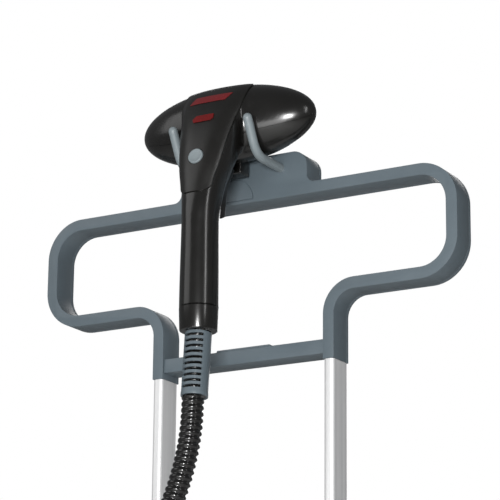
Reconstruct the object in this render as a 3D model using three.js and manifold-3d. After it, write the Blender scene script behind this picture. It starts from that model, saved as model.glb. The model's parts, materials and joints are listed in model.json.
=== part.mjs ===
// Upright garment steamer: a wheeled boiler base, twin telescopic poles, a T-shaped hanger
// loop and a steam handset that hangs on two prongs, joined to the base by a corrugated hose.
// Millimetres, +Z up. The front faces -Y. The origin is on the floor, under the middle.
import * as THREE from 'three';
import { mergeVertices } from 'three/addons/utils/BufferGeometryUtils.js';
import Module from 'manifold-3d';

const wasm = await Module();
wasm.setup();

// ---------------------------------------------------------------- driving dimensions
const GAP = 0.3;                 // between pieces that touch
const RUN = 0.5;                 // round pieces that slide or turn

const HANGER_TOP = 1520;         // top edge of the hanger's top bar
const HANGER_HALF = 220;         // half the width over both lobes
const LOBE_DROP = 107.3;         // from the top edge to the underside of the lobes
const LEG_DROP = 169.1;          // from the top edge to the end of the legs
const LEG_X = 90.65;             // middle of a leg and of a pole
const BAR_WIDTH = 10.9;
const BAR_DEPTH = 28.6;
const LOBE_RADIUS = 32;          // on the bar's middle line
const LEG_RADIUS = 25.5;
const BAR_EDGE = 1.2;            // small rounding of the bar's front edges
const COVER_THICK = 4;           // rear cover of the hanger
const SHELL_WALL = 2;
const PLATE_HALF = 68;
const PLATE_RISE = 32;
const PLATE_CORNER = 15;
const PLATE_FLARE = 8;

const CROSS_DROP = 150.5;
const CROSS_HEIGHT = 13.1;
const CROSS_DEPTH = 24;
const CROSS_PAD_HALF = 29;
const CROSS_PAD_RISE = 2;

const PRONG_RADIUS = 4.3;
const PRONG_X = 40;
const PRONG_RISE = 18;           // above the hanger's top edge
const PRONG_REACH = 44;          // straight run in front of the plate
const PRONG_TIP_REACH = 17;
const PRONG_TIP_RISE = 31;
const PRONG_ROOT = 12;           // length held inside the plate
const PRONG_BEND = 12;           // run on each side of the bend
const SCREW_DROP = 54;
const SCREW_RADIUS = 1.5;
const PLUG_BELOW = 45;           // length held in the pole
const PLUG_ABOVE = 40;           // length held in the leg
const PLUG_ROOM = 0.8;

const POLE_WIDTH = 10.3;
const POLE_DEPTH = 28;
const POLE_WALL = 1.2;
const POLE_CORNER = 3.5;
const POLE_OVERLAP = 95;         // upper pole left inside the lower one when extended
const LOWER_WALL = 1.6;
const LOWER_CLEARANCE = 0.7;
const LOWER_TOP = 850;

const COLLAR_WALL = 5;
const COLLAR_HEIGHT = 44;
const COLLAR_OVER = 28;          // part of the collar that covers the lower pole
const LEVER_LENGTH = 46;
const LEVER_THICK = 6;
const LEVER_DEPTH = 20;
const EAR_THICK = 4;
const EAR_HALF_Z = 6;
const PIN_RADIUS = 2;

const HANDLE_RADIUS = 17.2;
const HANDLE_Y = -89.3;
const HANDLE_TOP_DROP = 50;      // where the handle meets the neck
const COLLAR_SEAM_DROP = 129;
const HANDLE_END_DROP = 151;
const HANDSET_WALL = 2.4;
const HEAD_Y = -41;
const HEAD_RISE = 57.5;
const HEAD_HALF = [92, 31.5, 37];
const DISC_RADIUS = 7.5;
const LUG_HALF_X = 10;
const LUG_FRONT = -36;
const LUG_BACK = -20;
const LUG_FOOT_RISE = 12;
const RELIEF_TOP = 151.6;
const RELIEF_LENGTH = 60;
const RELIEF_RADIUS = 12.2;
const RELIEF_TILT = 5 * Math.PI / 180;
const RELIEF_SLOTS = 10;
const RELIEF_PITCH = 5.3;
const RELIEF_SLOT = 2.6;

const HOSE_RADIUS = 10;

const BASE_HALF_X = 165;
const BASE_FRONT = -150;
const BASE_BACK = 142;
const BASE_CORNER = 48;
const BASE_WALL = 3;
const TRAY_BOTTOM = 20;
const TRAY_TOP = 62;
const DECK_TOP = 112;            // low deck that carries the tank
const HOUSING_TOP = 190;
const TANK_FRONT = 30;
const TANK_HEIGHT = 175;
const TANK_HALF_X = 118;
const TANK_WALL = 2.5;
const WHEEL_RADIUS = 34;
const WHEEL_WIDTH = 20;
const WHEEL_Y = 100;
const AXLE_RADIUS = 4;
const WHEEL_ROOM = 4;
const TYRE_DEPTH = 6;
const DISH_DEPTH = 4;
const HUB_RADIUS = 11;
const FOOT_X = 105;
const FOOT_INSET = 42;
const FOOT_RADIUS = 14;
const FOOT_STEM = 5;
const SOCKET_WALL = 6;
const SOCKET_RISE = 26;

const TANK_CORNER = 30;
const CAP_RADIUS = 20;
const CAP_STEM = 14;
const CAP_RISE = 12;
const OUTLET_RADIUS = 5;
const HANDLE_POST_X = 86;
const GRIP_RISE = 44;
const VALVE_RADIUS = 11;
const VALVE_DEPTH = 26;

const PORT_X = 72;
const PORT_Y = -96;
const PORT_RADIUS = 15;
const PORT_DEPTH = 14;
const PORT_RISE = 10;
const NUT_HEIGHT = 34;
const DIAL_AT = [0, -96];
const DIAL_RADIUS = 22;
const DIAL_SHAFT = 4;
const DIAL_RISE = 16;
const SWITCH_AT = [-78, -96];
const SWITCH_HALF = [9, 14];
const LAMP_AT = [-38, -118];
const LAMP_RADIUS = 4;
const BACK_FITTING_X = 70;
const BACK_FITTING_Z = 86;
const INLET_RADIUS = 8;
const DRAIN_RADIUS = 9;
const BOILER_AT = [72, -80];
const BOILER_RADIUS = 38;
const BOILER_TOP = 150;

// ---------------------------------------------------------------- finishes
function finish(color, roughness, metalness = 0) {
  return new THREE.MeshStandardMaterial({ color, roughness, metalness });
}
const GREY_PLASTIC = finish(0x5f696f, 0.5);
const PRONG_GREY = finish(0x8f9698, 0.45);
const ALUMINIUM = finish(0xb9bbbc, 0.32, 1);
const GLOSS_BLACK = finish(0x191817, 0.25);
const SATIN_BLACK = finish(0x1d1c1a, 0.42);
const HOSE_BLACK = finish(0x101010, 0.3);
const BASE_GREY = finish(0x4c5358, 0.5);
const RED_PLASTIC = finish(0x962323, 0.35);
const RED_LENS = finish(0x6e0a0a, 0.15);
const STEEL = finish(0xa8a8a6, 0.35, 1);
const BRASS = finish(0xb08d4a, 0.4, 1);
const CAST = finish(0x8c8d8e, 0.6, 1);
const RUBBER = finish(0x1b1b1b, 0.85);
const SILICONE = finish(0xc9c5bd, 0.6);
const TANK_SMOKE = finish(0x6f8794, 0.15);

// ---------------------------------------------------------------- helpers
const up = (drop) => HANGER_TOP - drop;

function solid(geometry) {
  const bare = geometry.clone();
  bare.deleteAttribute('normal');
  bare.deleteAttribute('uv');
  const merged = mergeVertices(bare, 1e-4);
  const index = merged.index.array;
  return new wasm.Manifold(new wasm.Mesh({
    numProp: 3,
    vertProperties: new Float32Array(merged.attributes.position.array),
    triVerts: new Uint32Array(index),
  }));
}

function surface(body) {
  const mesh = body.getMesh();
  const geometry = new THREE.BufferGeometry();
  geometry.setAttribute('position', new THREE.BufferAttribute(mesh.vertProperties, 3));
  geometry.setIndex(new THREE.BufferAttribute(mesh.triVerts, 1));
  geometry.computeVertexNormals();
  return geometry;
}

function cut(body, ...tools) {
  return surface(tools.reduce((rest, tool) => rest.subtract(solid(tool)), solid(body)));
}

function join(...pieces) {
  return surface(pieces.slice(1).reduce((sum, piece) => sum.add(solid(piece)), solid(pieces[0])));
}

function common(first, second) {
  return surface(solid(first).intersect(solid(second)));
}

function box(x0, x1, y0, y1, z0, z1) {
  const geometry = new THREE.BoxGeometry(x1 - x0, y1 - y0, z1 - z0);
  return geometry.translate((x0 + x1) / 2, (y0 + y1) / 2, (z0 + z1) / 2);
}

// A cylinder along 'x', 'y' or 'z' from one end to the other, tapered if a second radius is given.
function rod(axis, radius, from, to, at, sides = 20, endRadius = radius) {
  const geometry = new THREE.CylinderGeometry(endRadius, radius, to - from, sides);
  const middle = (from + to) / 2;
  if (axis === 'x') return geometry.rotateZ(-Math.PI / 2).translate(middle, at[0], at[1]);
  if (axis === 'y') return geometry.translate(at[0], middle, at[1]);
  return geometry.rotateX(Math.PI / 2).translate(at[0], at[1], middle);
}

function roundedRect(halfX, halfY, radius, arcSteps = 4) {
  const points = [];
  const corners = [[1, -1, -90], [1, 1, 0], [-1, 1, 90], [-1, -1, 180]];
  for (const [sx, sy, start] of corners) {
    for (let step = 0; step <= arcSteps; step += 1) {
      const angle = THREE.MathUtils.degToRad(start + 90 * step / arcSteps);
      const x = sx * (halfX - radius) + radius * Math.cos(angle);
      const y = sy * (halfY - radius) + radius * Math.sin(angle);
      points.push(new THREE.Vector2(x, y));
    }
  }
  return new THREE.Shape(points);
}

// A vertical prism of a rounded rectangle round (x, y).
function slab(x, y, halfX, halfY, radius, z0, z1, bevel = 0, arcSteps = 4) {
  const geometry = new THREE.ExtrudeGeometry(roundedRect(halfX, halfY, radius, arcSteps), {
    depth: z1 - z0 - 2 * bevel,
    bevelEnabled: bevel > 0,
    bevelThickness: bevel,
    bevelSize: bevel,
    bevelOffset: -bevel,
    bevelSegments: 2,
  });
  return geometry.translate(x, y, z0 + bevel);
}

// A shape drawn in x and z, run through the depth from y0 to y1.
function panel(shape, y0, y1, bevel = 0) {
  const geometry = new THREE.ExtrudeGeometry(shape, {
    depth: y1 - y0 - 2 * bevel,
    bevelEnabled: bevel > 0,
    bevelThickness: bevel,
    bevelSize: bevel,
    bevelOffset: -bevel,
    bevelSegments: 1,
  });
  return geometry.rotateX(Math.PI / 2).translate(0, y1 - bevel, 0);
}

// A bar of even width along a line whose corners are rounded: [x, z, radius] for each corner.
function bar(corners, halfWidth, arcSteps = 6) {
  const left = [];
  const right = [];
  const add = (point, along) => {
    const side = new THREE.Vector2(-along.y, along.x).multiplyScalar(halfWidth);
    left.push(point.clone().add(side));
    right.push(point.clone().sub(side));
  };
  corners.forEach(([x, z, radius], index) => {
    const here = new THREE.Vector2(x, z);
    const before = corners[index - 1];
    const after = corners[index + 1];
    if (!before || !after) {
      const ends = before ? [before, corners[index]] : [corners[index], after];
      const along = new THREE.Vector2(ends[1][0] - ends[0][0], ends[1][1] - ends[0][1]).normalize();
      add(here, along);
      return;
    }
    const into = new THREE.Vector2(x - before[0], z - before[1]).normalize();
    const out = new THREE.Vector2(after[0] - x, after[1] - z).normalize();
    const turn = Math.sign(into.x * out.y - into.y * out.x);
    const start = here.clone().addScaledVector(into, -radius);
    const centre = start.clone().add(new THREE.Vector2(-into.y, into.x).multiplyScalar(turn * radius));
    for (let step = 0; step <= arcSteps; step += 1) {
      const angle = turn * (Math.PI / 2) * step / arcSteps;
      const along = into.clone().rotateAround(new THREE.Vector2(), angle);
      const arm = start.clone().sub(centre).rotateAround(new THREE.Vector2(), angle);
      add(centre.clone().add(arm), along);
    }
  });
  return new THREE.Shape([...left, ...right.reverse()]);
}

// An outline drawn in y and z, run across from x0 to x1.
function prism(points, x0, x1) {
  const outline = new THREE.Shape(points.map(([y, z]) => new THREE.Vector2(y, z)));
  const geometry = new THREE.ExtrudeGeometry(outline, { depth: x1 - x0, bevelEnabled: false });
  const toYZ = new THREE.Matrix4().set(0, 0, 1, x0, 1, 0, 0, 0, 0, 1, 0, 0, 0, 0, 0, 1);
  return geometry.applyMatrix4(toYZ);
}

// A round tube along a smooth line through the points.
function tube(points, radius, sideCount, steps) {
  const ring = [];
  for (let i = 0; i < sideCount; i += 1) {
    const angle = 2 * Math.PI * i / sideCount;
    ring.push(new THREE.Vector2(radius * Math.cos(angle), radius * Math.sin(angle)));
  }
  const line = new THREE.CatmullRomCurve3(points.map((point) => new THREE.Vector3(...point)));
  const options = { steps, bevelEnabled: false, extrudePath: line };
  return new THREE.ExtrudeGeometry(new THREE.Shape(ring), options);
}

// A closed skin over rings that run round an upright axis, from low to high, with flat ends.
function loft(heights, sides, ringPoint) {
  const steps = heights.length - 1;
  const geometry = new THREE.CylinderGeometry(1, 1, steps, sides, steps);
  const place = geometry.attributes.position;
  for (let i = 0; i < place.count; i += 1) {
    const level = Math.round(place.getY(i) + steps / 2);
    const x = place.getX(i);
    const y = -place.getZ(i);
    const [px, py] = ringPoint(level, x, y);
    place.setXYZ(i, px, py, heights[level]);
  }
  return geometry;
}

const steamer = new THREE.Group();

function addPiece(name, geometry, material, group = steamer) {
  const mesh = new THREE.Mesh(geometry, material);
  mesh.name = name;
  group.add(mesh);
  return mesh;
}

const sides = [['left', -1], ['right', 1]];

// ---------------------------------------------------------------- hanger loop
const barHalf = BAR_WIDTH / 2;
const frontFace = -BAR_DEPTH / 2;
const coverFront = BAR_DEPTH / 2 - COVER_THICK;

function loopLine() {
  const half = [
    [LEG_X, up(LEG_DROP), 0],
    [LEG_X, up(LOBE_DROP - barHalf), LEG_RADIUS],
    [HANGER_HALF - barHalf, up(LOBE_DROP - barHalf), LOBE_RADIUS],
    [HANGER_HALF - barHalf, up(barHalf), LOBE_RADIUS],
  ];
  const other = half.map(([x, z, radius]) => [-x, z, radius]).reverse();
  return [...half, ...other];
}

// The hook plate: it flares into the top bar and has rounded top corners.
function plateOutline(inset) {
  const half = PLATE_HALF - inset;
  const top = up(inset - PLATE_RISE);
  const foot = up(BAR_WIDTH - 2);
  const edge = up(inset);
  const corner = PLATE_CORNER - inset;
  const outline = new THREE.Shape();
  outline.moveTo(-half - PLATE_FLARE, foot);
  outline.lineTo(half + PLATE_FLARE, foot);
  outline.lineTo(half + PLATE_FLARE, edge);
  outline.absarc(half + PLATE_FLARE, edge + PLATE_FLARE, PLATE_FLARE, -Math.PI / 2, -Math.PI, true);
  outline.absarc(half - corner, top - corner, corner, 0, Math.PI / 2, false);
  outline.absarc(corner - half, top - corner, corner, Math.PI / 2, Math.PI, false);
  outline.absarc(-half - PLATE_FLARE, edge + PLATE_FLARE, PLATE_FLARE, 0, -Math.PI / 2, true);
  return outline;
}

function coarse(outline, divisions = 5) {
  return new THREE.Shape(outline.getPoints(divisions));
}

const prongZ = up(-PRONG_RISE);
const loopFront = panel(bar(loopLine(), barHalf), frontFace, coverFront + BAR_EDGE, BAR_EDGE);
const plateFront = panel(coarse(plateOutline(0)), frontFace, coverFront + BAR_EDGE, BAR_EDGE);
const channel = panel(bar(loopLine(), barHalf - SHELL_WALL), frontFace + SHELL_WALL + 1, coverFront + 9);
const platePocket = panel(coarse(plateOutline(SHELL_WALL)), frontFace + SHELL_WALL + 1, coverFront + 9);
const behind = box(-400, 400, coverFront, coverFront + 20, up(400), up(-100));
const bosses = [];
const pockets = [];
for (const [, side] of sides) {
  const at = [side * PRONG_X, prongZ];
  bosses.push(rod('y', PRONG_RADIUS + 3, frontFace + 1, coverFront - 1, at, 16));
  pockets.push(rod('y', PRONG_RADIUS + GAP, frontFace - 1, frontFace + PRONG_ROOT + GAP, at, 16));
}
const shellOnly = cut(join(loopFront, plateFront), channel, platePocket, behind);
addPiece('hanger_frame', cut(join(shellOnly, ...bosses), ...pockets), GREY_PLASTIC);

// The rear cover closes the loop and the plate, held by a screw at the side of each lobe.
const screwHoles = [-1, 1].map((side) => [side * (HANGER_HALF - barHalf), up(SCREW_DROP)]);
const coverBody = join(
  panel(bar(loopLine(), barHalf), coverFront + GAP, BAR_DEPTH / 2),
  panel(coarse(plateOutline(0)), coverFront + GAP, BAR_DEPTH / 2),
);
const coverHoles = screwHoles.map((at) => rod('y', SCREW_RADIUS + GAP, 0, 40, at, 10));
addPiece('hanger_rear_cover', cut(coverBody, ...coverHoles), GREY_PLASTIC);
screwHoles.forEach((at, index) => {
  const shank = rod('y', SCREW_RADIUS, coverFront - 3, BAR_DEPTH / 2 + GAP, at, 10);
  const head = rod('y', 2 * SCREW_RADIUS, BAR_DEPTH / 2 + GAP, BAR_DEPTH / 2 + 2, at, 10);
  addPiece(`cover_screw_${index + 1}`, join(shank, head), STEEL);
});

const crossFront = frontFace + 2;
const crossHalf = LEG_X - barHalf - GAP;
const crossBody = box(-crossHalf, crossHalf, crossFront, crossFront + CROSS_DEPTH,
  up(CROSS_DROP + CROSS_HEIGHT), up(CROSS_DROP));
const crossPad = box(-CROSS_PAD_HALF, CROSS_PAD_HALF, crossFront + 1, crossFront + CROSS_DEPTH - 1,
  up(CROSS_DROP + 1), up(CROSS_DROP - CROSS_PAD_RISE));
addPiece('crossbar', join(crossBody, crossPad), GREY_PLASTIC);

// A plug grows out of each leg and holds the upper pole on it.
const plugHalfInLeg = barHalf - SHELL_WALL - GAP;
const plugHalfInPole = POLE_WIDTH / 2 - POLE_WALL - PLUG_ROOM;
const plugBack = coverFront - GAP;
const plugFront = frontFace + SHELL_WALL + 1 + GAP;
for (const [name, side] of sides) {
  const inLeg = box(side * LEG_X - plugHalfInLeg, side * LEG_X + plugHalfInLeg, plugFront, plugBack,
    up(LEG_DROP), up(LEG_DROP - PLUG_ABOVE));
  const inPole = box(side * LEG_X - plugHalfInPole, side * LEG_X + plugHalfInPole, plugFront, plugBack,
    up(LEG_DROP + PLUG_BELOW), up(LEG_DROP));
  addPiece(`leg_plug_${name}`, join(inLeg, inPole), GREY_PLASTIC);
}

// Prongs: straight out of the plate, then up to a rounded tip.
const prongRoot = frontFace + PRONG_ROOT;
const prongBend = frontFace - PRONG_REACH;
const prongTip = [prongBend - PRONG_TIP_REACH, prongZ + PRONG_TIP_RISE];
for (const [name, side] of sides) {
  const x = side * PRONG_X;
  const lean = Math.hypot(PRONG_TIP_REACH, PRONG_TIP_RISE);
  const rise = [PRONG_TIP_REACH * PRONG_BEND / lean, PRONG_TIP_RISE * PRONG_BEND / lean];
  const line = [
    [x, prongRoot, prongZ],
    [x, (prongRoot + prongBend) / 2, prongZ],
    [x, prongBend + PRONG_BEND, prongZ],
    [x, prongBend - rise[0] / 5, prongZ + rise[1] / 3],
    [x, prongBend - rise[0] * 1.2, prongZ + rise[1] * 1.2],
    [x, ...prongTip],
  ];
  const tip = new THREE.SphereGeometry(PRONG_RADIUS * 0.99, 10, 6).translate(x, ...prongTip);
  addPiece(`hook_prong_${name}`, join(tube(line, PRONG_RADIUS, 12, 12), tip), PRONG_GREY);
}

// ---------------------------------------------------------------- poles
const upperEnd = LOWER_TOP - POLE_OVERLAP;
const lowerHalfX = POLE_WIDTH / 2 + LOWER_CLEARANCE + LOWER_WALL;
const lowerHalfY = POLE_DEPTH / 2 + LOWER_CLEARANCE + LOWER_WALL;
const lowerCorner = POLE_CORNER + LOWER_CLEARANCE + LOWER_WALL;
const LOWER_FOOT = TRAY_BOTTOM + BASE_WALL + GAP;
const collarHalfX = lowerHalfX + COLLAR_WALL;
const collarHalfY = lowerHalfY + COLLAR_WALL;
const collarFoot = LOWER_TOP - COLLAR_OVER;
const pinZ = LOWER_TOP + 6;
const leverInner = collarHalfX + 1.5;
const pinX = leverInner + LEVER_THICK / 2;
const earHalf = LEVER_DEPTH / 2 + GAP + EAR_THICK;

function hollow(x, halfX, halfY, corner, wall, z0, z1) {
  const outer = slab(x, 0, halfX, halfY, corner, z0, z1);
  const inner = slab(x, 0, halfX - wall, halfY - wall, corner - wall, z0 - 1, z1 + 1);
  return cut(outer, inner);
}

for (const [name, side] of sides) {
  const x = side * LEG_X;
  const upper = hollow(x, POLE_WIDTH / 2, POLE_DEPTH / 2, POLE_CORNER, POLE_WALL, upperEnd, up(LEG_DROP + GAP));
  addPiece(`upper_pole_${name}`, upper, ALUMINIUM);
  const lower = hollow(x, lowerHalfX, lowerHalfY, lowerCorner, LOWER_WALL, LOWER_FOOT, LOWER_TOP);
  addPiece(`lower_pole_${name}`, lower, ALUMINIUM);

  const ears = [-1, 1].map((end) => {
    const near = end * (earHalf - EAR_THICK);
    const far = end * earHalf;
    const root = x - side;
    const tip = x + side * (pinX + EAR_THICK);
    return box(Math.min(root, tip), Math.max(root, tip), Math.min(near, far), Math.max(near, far),
      pinZ - EAR_HALF_Z, pinZ + EAR_HALF_Z);
  });
  const ring = slab(x, 0, collarHalfX, collarHalfY, lowerCorner + 3, collarFoot, collarFoot + COLLAR_HEIGHT, 1);
  const lowerSeat = slab(x, 0, lowerHalfX + GAP, lowerHalfY + GAP, lowerCorner + GAP,
    collarFoot - 1, LOWER_TOP + GAP);
  const upperSeat = slab(x, 0, POLE_WIDTH / 2 + RUN, POLE_DEPTH / 2 + RUN, POLE_CORNER + RUN,
    LOWER_TOP, collarFoot + COLLAR_HEIGHT + 1);
  const bore = rod('y', PIN_RADIUS + GAP, -60, 60, [x + side * pinX, pinZ], 14);
  addPiece(`lock_collar_${name}`, cut(join(ring, ...ears), lowerSeat, upperSeat, bore), BASE_GREY);
  addPiece(`lock_pin_${name}`, rod('y', PIN_RADIUS, -earHalf, earHalf, [x + side * pinX, pinZ], 14), STEEL);

  const eye = rod('y', LEVER_THICK / 2 + 1, -LEVER_DEPTH / 2, LEVER_DEPTH / 2, [x + side * pinX, pinZ], 16);
  const outerX = side * (pinX + LEVER_THICK / 2 + 1);
  const innerX = side * (pinX - 0.5);
  const blade = box(x + Math.min(outerX, innerX), x + Math.max(outerX, innerX),
    -LEVER_DEPTH / 2, LEVER_DEPTH / 2, pinZ - LEVER_LENGTH, pinZ);
  const eyeBore = rod('y', PIN_RADIUS + GAP, -60, 60, [x + side * pinX, pinZ], 14);
  addPiece(`lock_lever_${name}`, cut(join(eye, blade), eyeBore), RED_PLASTIC);
}

// ---------------------------------------------------------------- handset
// Heights on the neck, from the handle up into the head: drop below the hanger's top edge,
// front and back of the skin, and half width.
const neckRings = [
  [COLLAR_SEAM_DROP, HANDLE_Y - HANDLE_RADIUS - 0.8, HANDLE_Y + HANDLE_RADIUS + 0.8, HANDLE_RADIUS + 0.8],
  [HANDLE_TOP_DROP, HANDLE_Y - HANDLE_RADIUS, HANDLE_Y + HANDLE_RADIUS, HANDLE_RADIUS],
  [43, -106.4, -71.6, 17.3],
  [30, -105, -70, 17.8],
  [19, -103.6, -67.5, 18.8],
  [0, -100.6, -62, 22.8],
  [-14, -97.5, -56, 25.3],
  [-27, -94, -50, 27.3],
  [-40, -90, -42, 29.5],
  [-52, -86, -40, 31.5],
  [-64, -80, -40, 33.5],
  [-76, -73, -40, 34],
  [-84, -65, -40, 33],
];

function neckSkin(inset, sideCount = 24) {
  const squareness = 2.8;
  const last = neckRings.length - 1;
  const heights = neckRings.map(([drop], index) => up(drop) + (index === last ? -inset : 0));
  return loft(heights, sideCount, (level, x, y) => {
    const [, front, back, half] = neckRings[level];
    const power = 2 / (2 + (squareness - 2) * level / last);
    const shape = (value) => Math.sign(value) * Math.abs(value) ** power;
    const middle = (front + back) / 2;
    return [shape(x) * (half - inset), middle + shape(y) * ((back - front) / 2 - inset)];
  });
}

function headSkin(inset, around, rings) {
  const [a, b, c] = HEAD_HALF.map((half) => half - inset);
  const ball = new THREE.SphereGeometry(1, around, rings).rotateZ(Math.PI / 2);
  return ball.scale(a, b, c).translate(0, HEAD_Y, up(-HEAD_RISE));
}

// The two shells part along a line in y and z: up the side of the neck, then back under the head.
const PART_LINE = [[-93, 149], [-78, -10], [-65.6, -40], [30, -97.4]];
function frontHalf(gap) {
  const line = PART_LINE.map(([y, drop]) => [y + gap, up(drop)]);
  const low = line[0][1];
  return prism([[-300, low], ...line, [30, up(-160)], [-300, up(-160)]], -150, 150);
}

// The head is cut flat behind for the steam plate.
const steamFace = HEAD_Y + 24;
const behindHead = box(-120, 120, steamFace, steamFace + 60, up(0), up(-140));
const outerSkin = cut(join(headSkin(0, 28, 16), neckSkin(0)), behindHead);
const innerHead = cut(headSkin(HANDSET_WALL, 16, 10), behindHead.clone().translate(0, -HANDSET_WALL, 0));
const innerSkin = join(innerHead, neckSkin(HANDSET_WALL, 14));
const mouth = rod('z', HANDLE_RADIUS - HANDSET_WALL, up(COLLAR_SEAM_DROP + 1), up(COLLAR_SEAM_DROP - 3),
  [0, HANDLE_Y], 24);

// A disc or hole square to the panel, where the steam button sits.
const DISC_RISE = 10.8;
const discSlope = Math.atan2(0.22, 1);
const discFace = new THREE.Vector3(0, -98.4, up(-DISC_RISE));
function buttonCylinder(radius, back, front) {
  const geometry = new THREE.CylinderGeometry(radius, radius, front - back, 24);
  geometry.translate(0, -(front + back) / 2, 0);
  return geometry.rotateX(-discSlope).translate(...discFace.toArray());
}

// Window behind the neck for the trigger, and the cheeks that hold its pin.
const TRIGGER_HALF = 9;
const triggerPivot = [-66, up(-5)];
const CHEEK = 4;
const window = box(-TRIGGER_HALF - RUN, TRIGGER_HALF + RUN, -76, -30, up(43), up(-19));
const cheeks = [-1, 1].map((side) => {
  const near = side * (TRIGGER_HALF + RUN);
  const far = side * (TRIGGER_HALF + RUN + CHEEK);
  const block = box(Math.min(near, far), Math.max(near, far), -73, -58, up(2), up(-12));
  return common(block, neckSkin(1));
});
const pinHole = rod('x', PIN_RADIUS + GAP, -TRIGGER_HALF - CHEEK, TRIGGER_HALF + CHEEK, triggerPivot, 14);
const PLATE_OVAL = [52, 19];
function oval(grow, thick, y) {
  const disc = new THREE.CylinderGeometry(1, 1, thick, 36);
  return disc.scale(PLATE_OVAL[0] + grow, 1, PLATE_OVAL[1] + grow).translate(0, y, up(-HEAD_RISE));
}
const outerHollow = cut(outerSkin, innerSkin, mouth, oval(GAP, 8, steamFace));
const buttonHole = buttonCylinder(DISC_RADIUS + RUN, -8, 8);
const openShell = cut(join(outerHollow, ...cheeks), window, pinHole, buttonHole);
// A lug under the head stands off the hook plate.
const lugBlock = box(-LUG_HALF_X, LUG_HALF_X, LUG_FRONT, LUG_BACK, up(-LUG_FOOT_RISE), up(-HEAD_RISE));
const shell = join(openShell, cut(lugBlock, headSkin(1, 28, 16)));

const handset = new THREE.Group();
steamer.add(handset);
addPiece('handset_front_shell', common(shell, frontHalf(0)), GLOSS_BLACK, handset);
addPiece('handset_rear_shell', cut(shell, frontHalf(GAP)), GLOSS_BLACK, handset);

// The raised panel on the front of the neck: a rounded tongue that widens towards the head.
const PANEL_BACK = -62;
const PANEL_THICK = 1.3;
function neckLayer(from, to, outline) {
  const layer = cut(neckSkin(-to), neckSkin(-from));
  return common(common(layer, panel(outline, -160, PANEL_BACK)), frontHalf(0));
}
const tongue = new THREE.Shape();
tongue.moveTo(31, up(-83.4));
tongue.lineTo(-31, up(-83.4));
tongue.quadraticCurveTo(-26, up(-45), -22, up(-5));
tongue.lineTo(-17, up(14));
tongue.quadraticCurveTo(-16, up(24), -8, up(24));
tongue.lineTo(8, up(24));
tongue.quadraticCurveTo(16, up(24), 17, up(14));
tongue.lineTo(22, up(-5));
tongue.quadraticCurveTo(26, up(-45), 31, up(-83.4));
const panelBlank = neckLayer(GAP, PANEL_THICK, coarse(tongue, 3));
addPiece('front_panel', cut(panelBlank, buttonHole, headSkin(-GAP, 28, 16)), SATIN_BLACK, handset);
addPiece('steam_button', buttonCylinder(DISC_RADIUS, -3, 2.2), PRONG_GREY, handset);

function flatBar(halfX, low, high) {
  const outline = new THREE.Shape();
  outline.moveTo(-halfX, up(-low));
  outline.lineTo(halfX, up(-low));
  outline.lineTo(halfX, up(-high));
  outline.lineTo(-halfX, up(-high));
  return outline;
}
const onPanel = PANEL_THICK + GAP;
addPiece('indicator_lens', neckLayer(onPanel, onPanel + 0.9, flatBar(9, 47, 55)), RED_LENS, handset);
addPiece('accent_bar', neckLayer(onPanel, onPanel + 0.6, flatBar(17, 68, 78)), RED_PLASTIC, handset);

const triggerSide = [
  [-45, up(-12)], [-54, up(4)], [-58.5, up(16)], [-60, up(28)], [-61, up(38)], [-66, up(40.5)],
  [-71, up(38)], [-70, up(16)], [-71, up(-4)], [-69, up(-12)], [-60, up(-15)],
];
const triggerBore = rod('x', PIN_RADIUS + GAP, -20, 20, triggerPivot, 14);
const triggerBody = cut(prism(triggerSide, -TRIGGER_HALF, TRIGGER_HALF), triggerBore);
addPiece('steam_trigger', triggerBody, SATIN_BLACK, handset);
const pinReach = TRIGGER_HALF + RUN + CHEEK - 1;
addPiece('trigger_pin', rod('x', PIN_RADIUS, -pinReach, pinReach, triggerPivot, 14), STEEL, handset);

// Steam plate: an oval with a row of outlets, set into the flat back of the head.
const outlets = [];
for (let i = -3; i <= 3; i += 1) {
  outlets.push(rod('y', 2, steamFace - 10, steamFace + 10, [i * 13, up(-HEAD_RISE)], 10));
}
addPiece('steam_plate', cut(oval(0, 3, steamFace + 1), ...outlets), ALUMINIUM, handset);

// Collar that closes the handle, strain relief with slots, and the hose cuff seen through them.
const collarTop = up(COLLAR_SEAM_DROP + GAP);
const collarEnd = up(HANDLE_END_DROP);
const endRing = rod('z', HANDLE_RADIUS, collarEnd, collarTop, [0, HANDLE_Y], 28, HANDLE_RADIUS + 0.9);
const endBore = rod('z', 11, collarEnd - 1, collarTop + 1, [0, HANDLE_Y], 24);
addPiece('handle_end_collar', cut(endRing, endBore), GLOSS_BLACK, handset);

const relief = new THREE.Group();
relief.position.set(0, HANDLE_Y, up(RELIEF_TOP));
relief.rotation.x = -RELIEF_TILT;
handset.add(relief);
const CUFF_RADIUS = 9.8;
const sleeve = rod('z', RELIEF_RADIUS, -RELIEF_LENGTH, -1.2, [0, 0], 20);
const bore = rod('z', CUFF_RADIUS + RUN, -RELIEF_LENGTH - 1, 1, [0, 0], 16);
const slots = [];
const slotBack = -RELIEF_RADIUS * Math.cos(62 * Math.PI / 180);
for (let i = 0; i < RELIEF_SLOTS; i += 1) {
  const z = -5 - i * RELIEF_PITCH;
  slots.push(box(-20, 20, -20, slotBack, z - RELIEF_SLOT / 2, z + RELIEF_SLOT / 2));
  slots.push(box(-20, 20, -slotBack, 20, z - RELIEF_SLOT / 2, z + RELIEF_SLOT / 2));
}
addPiece('strain_relief', cut(sleeve, bore, ...slots), GREY_PLASTIC, relief);
addPiece('hose_cuff', rod('z', CUFF_RADIUS * 0.98, -RELIEF_LENGTH + 1, -1.2, [0, 0], 16), HOSE_BLACK, relief);

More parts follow.
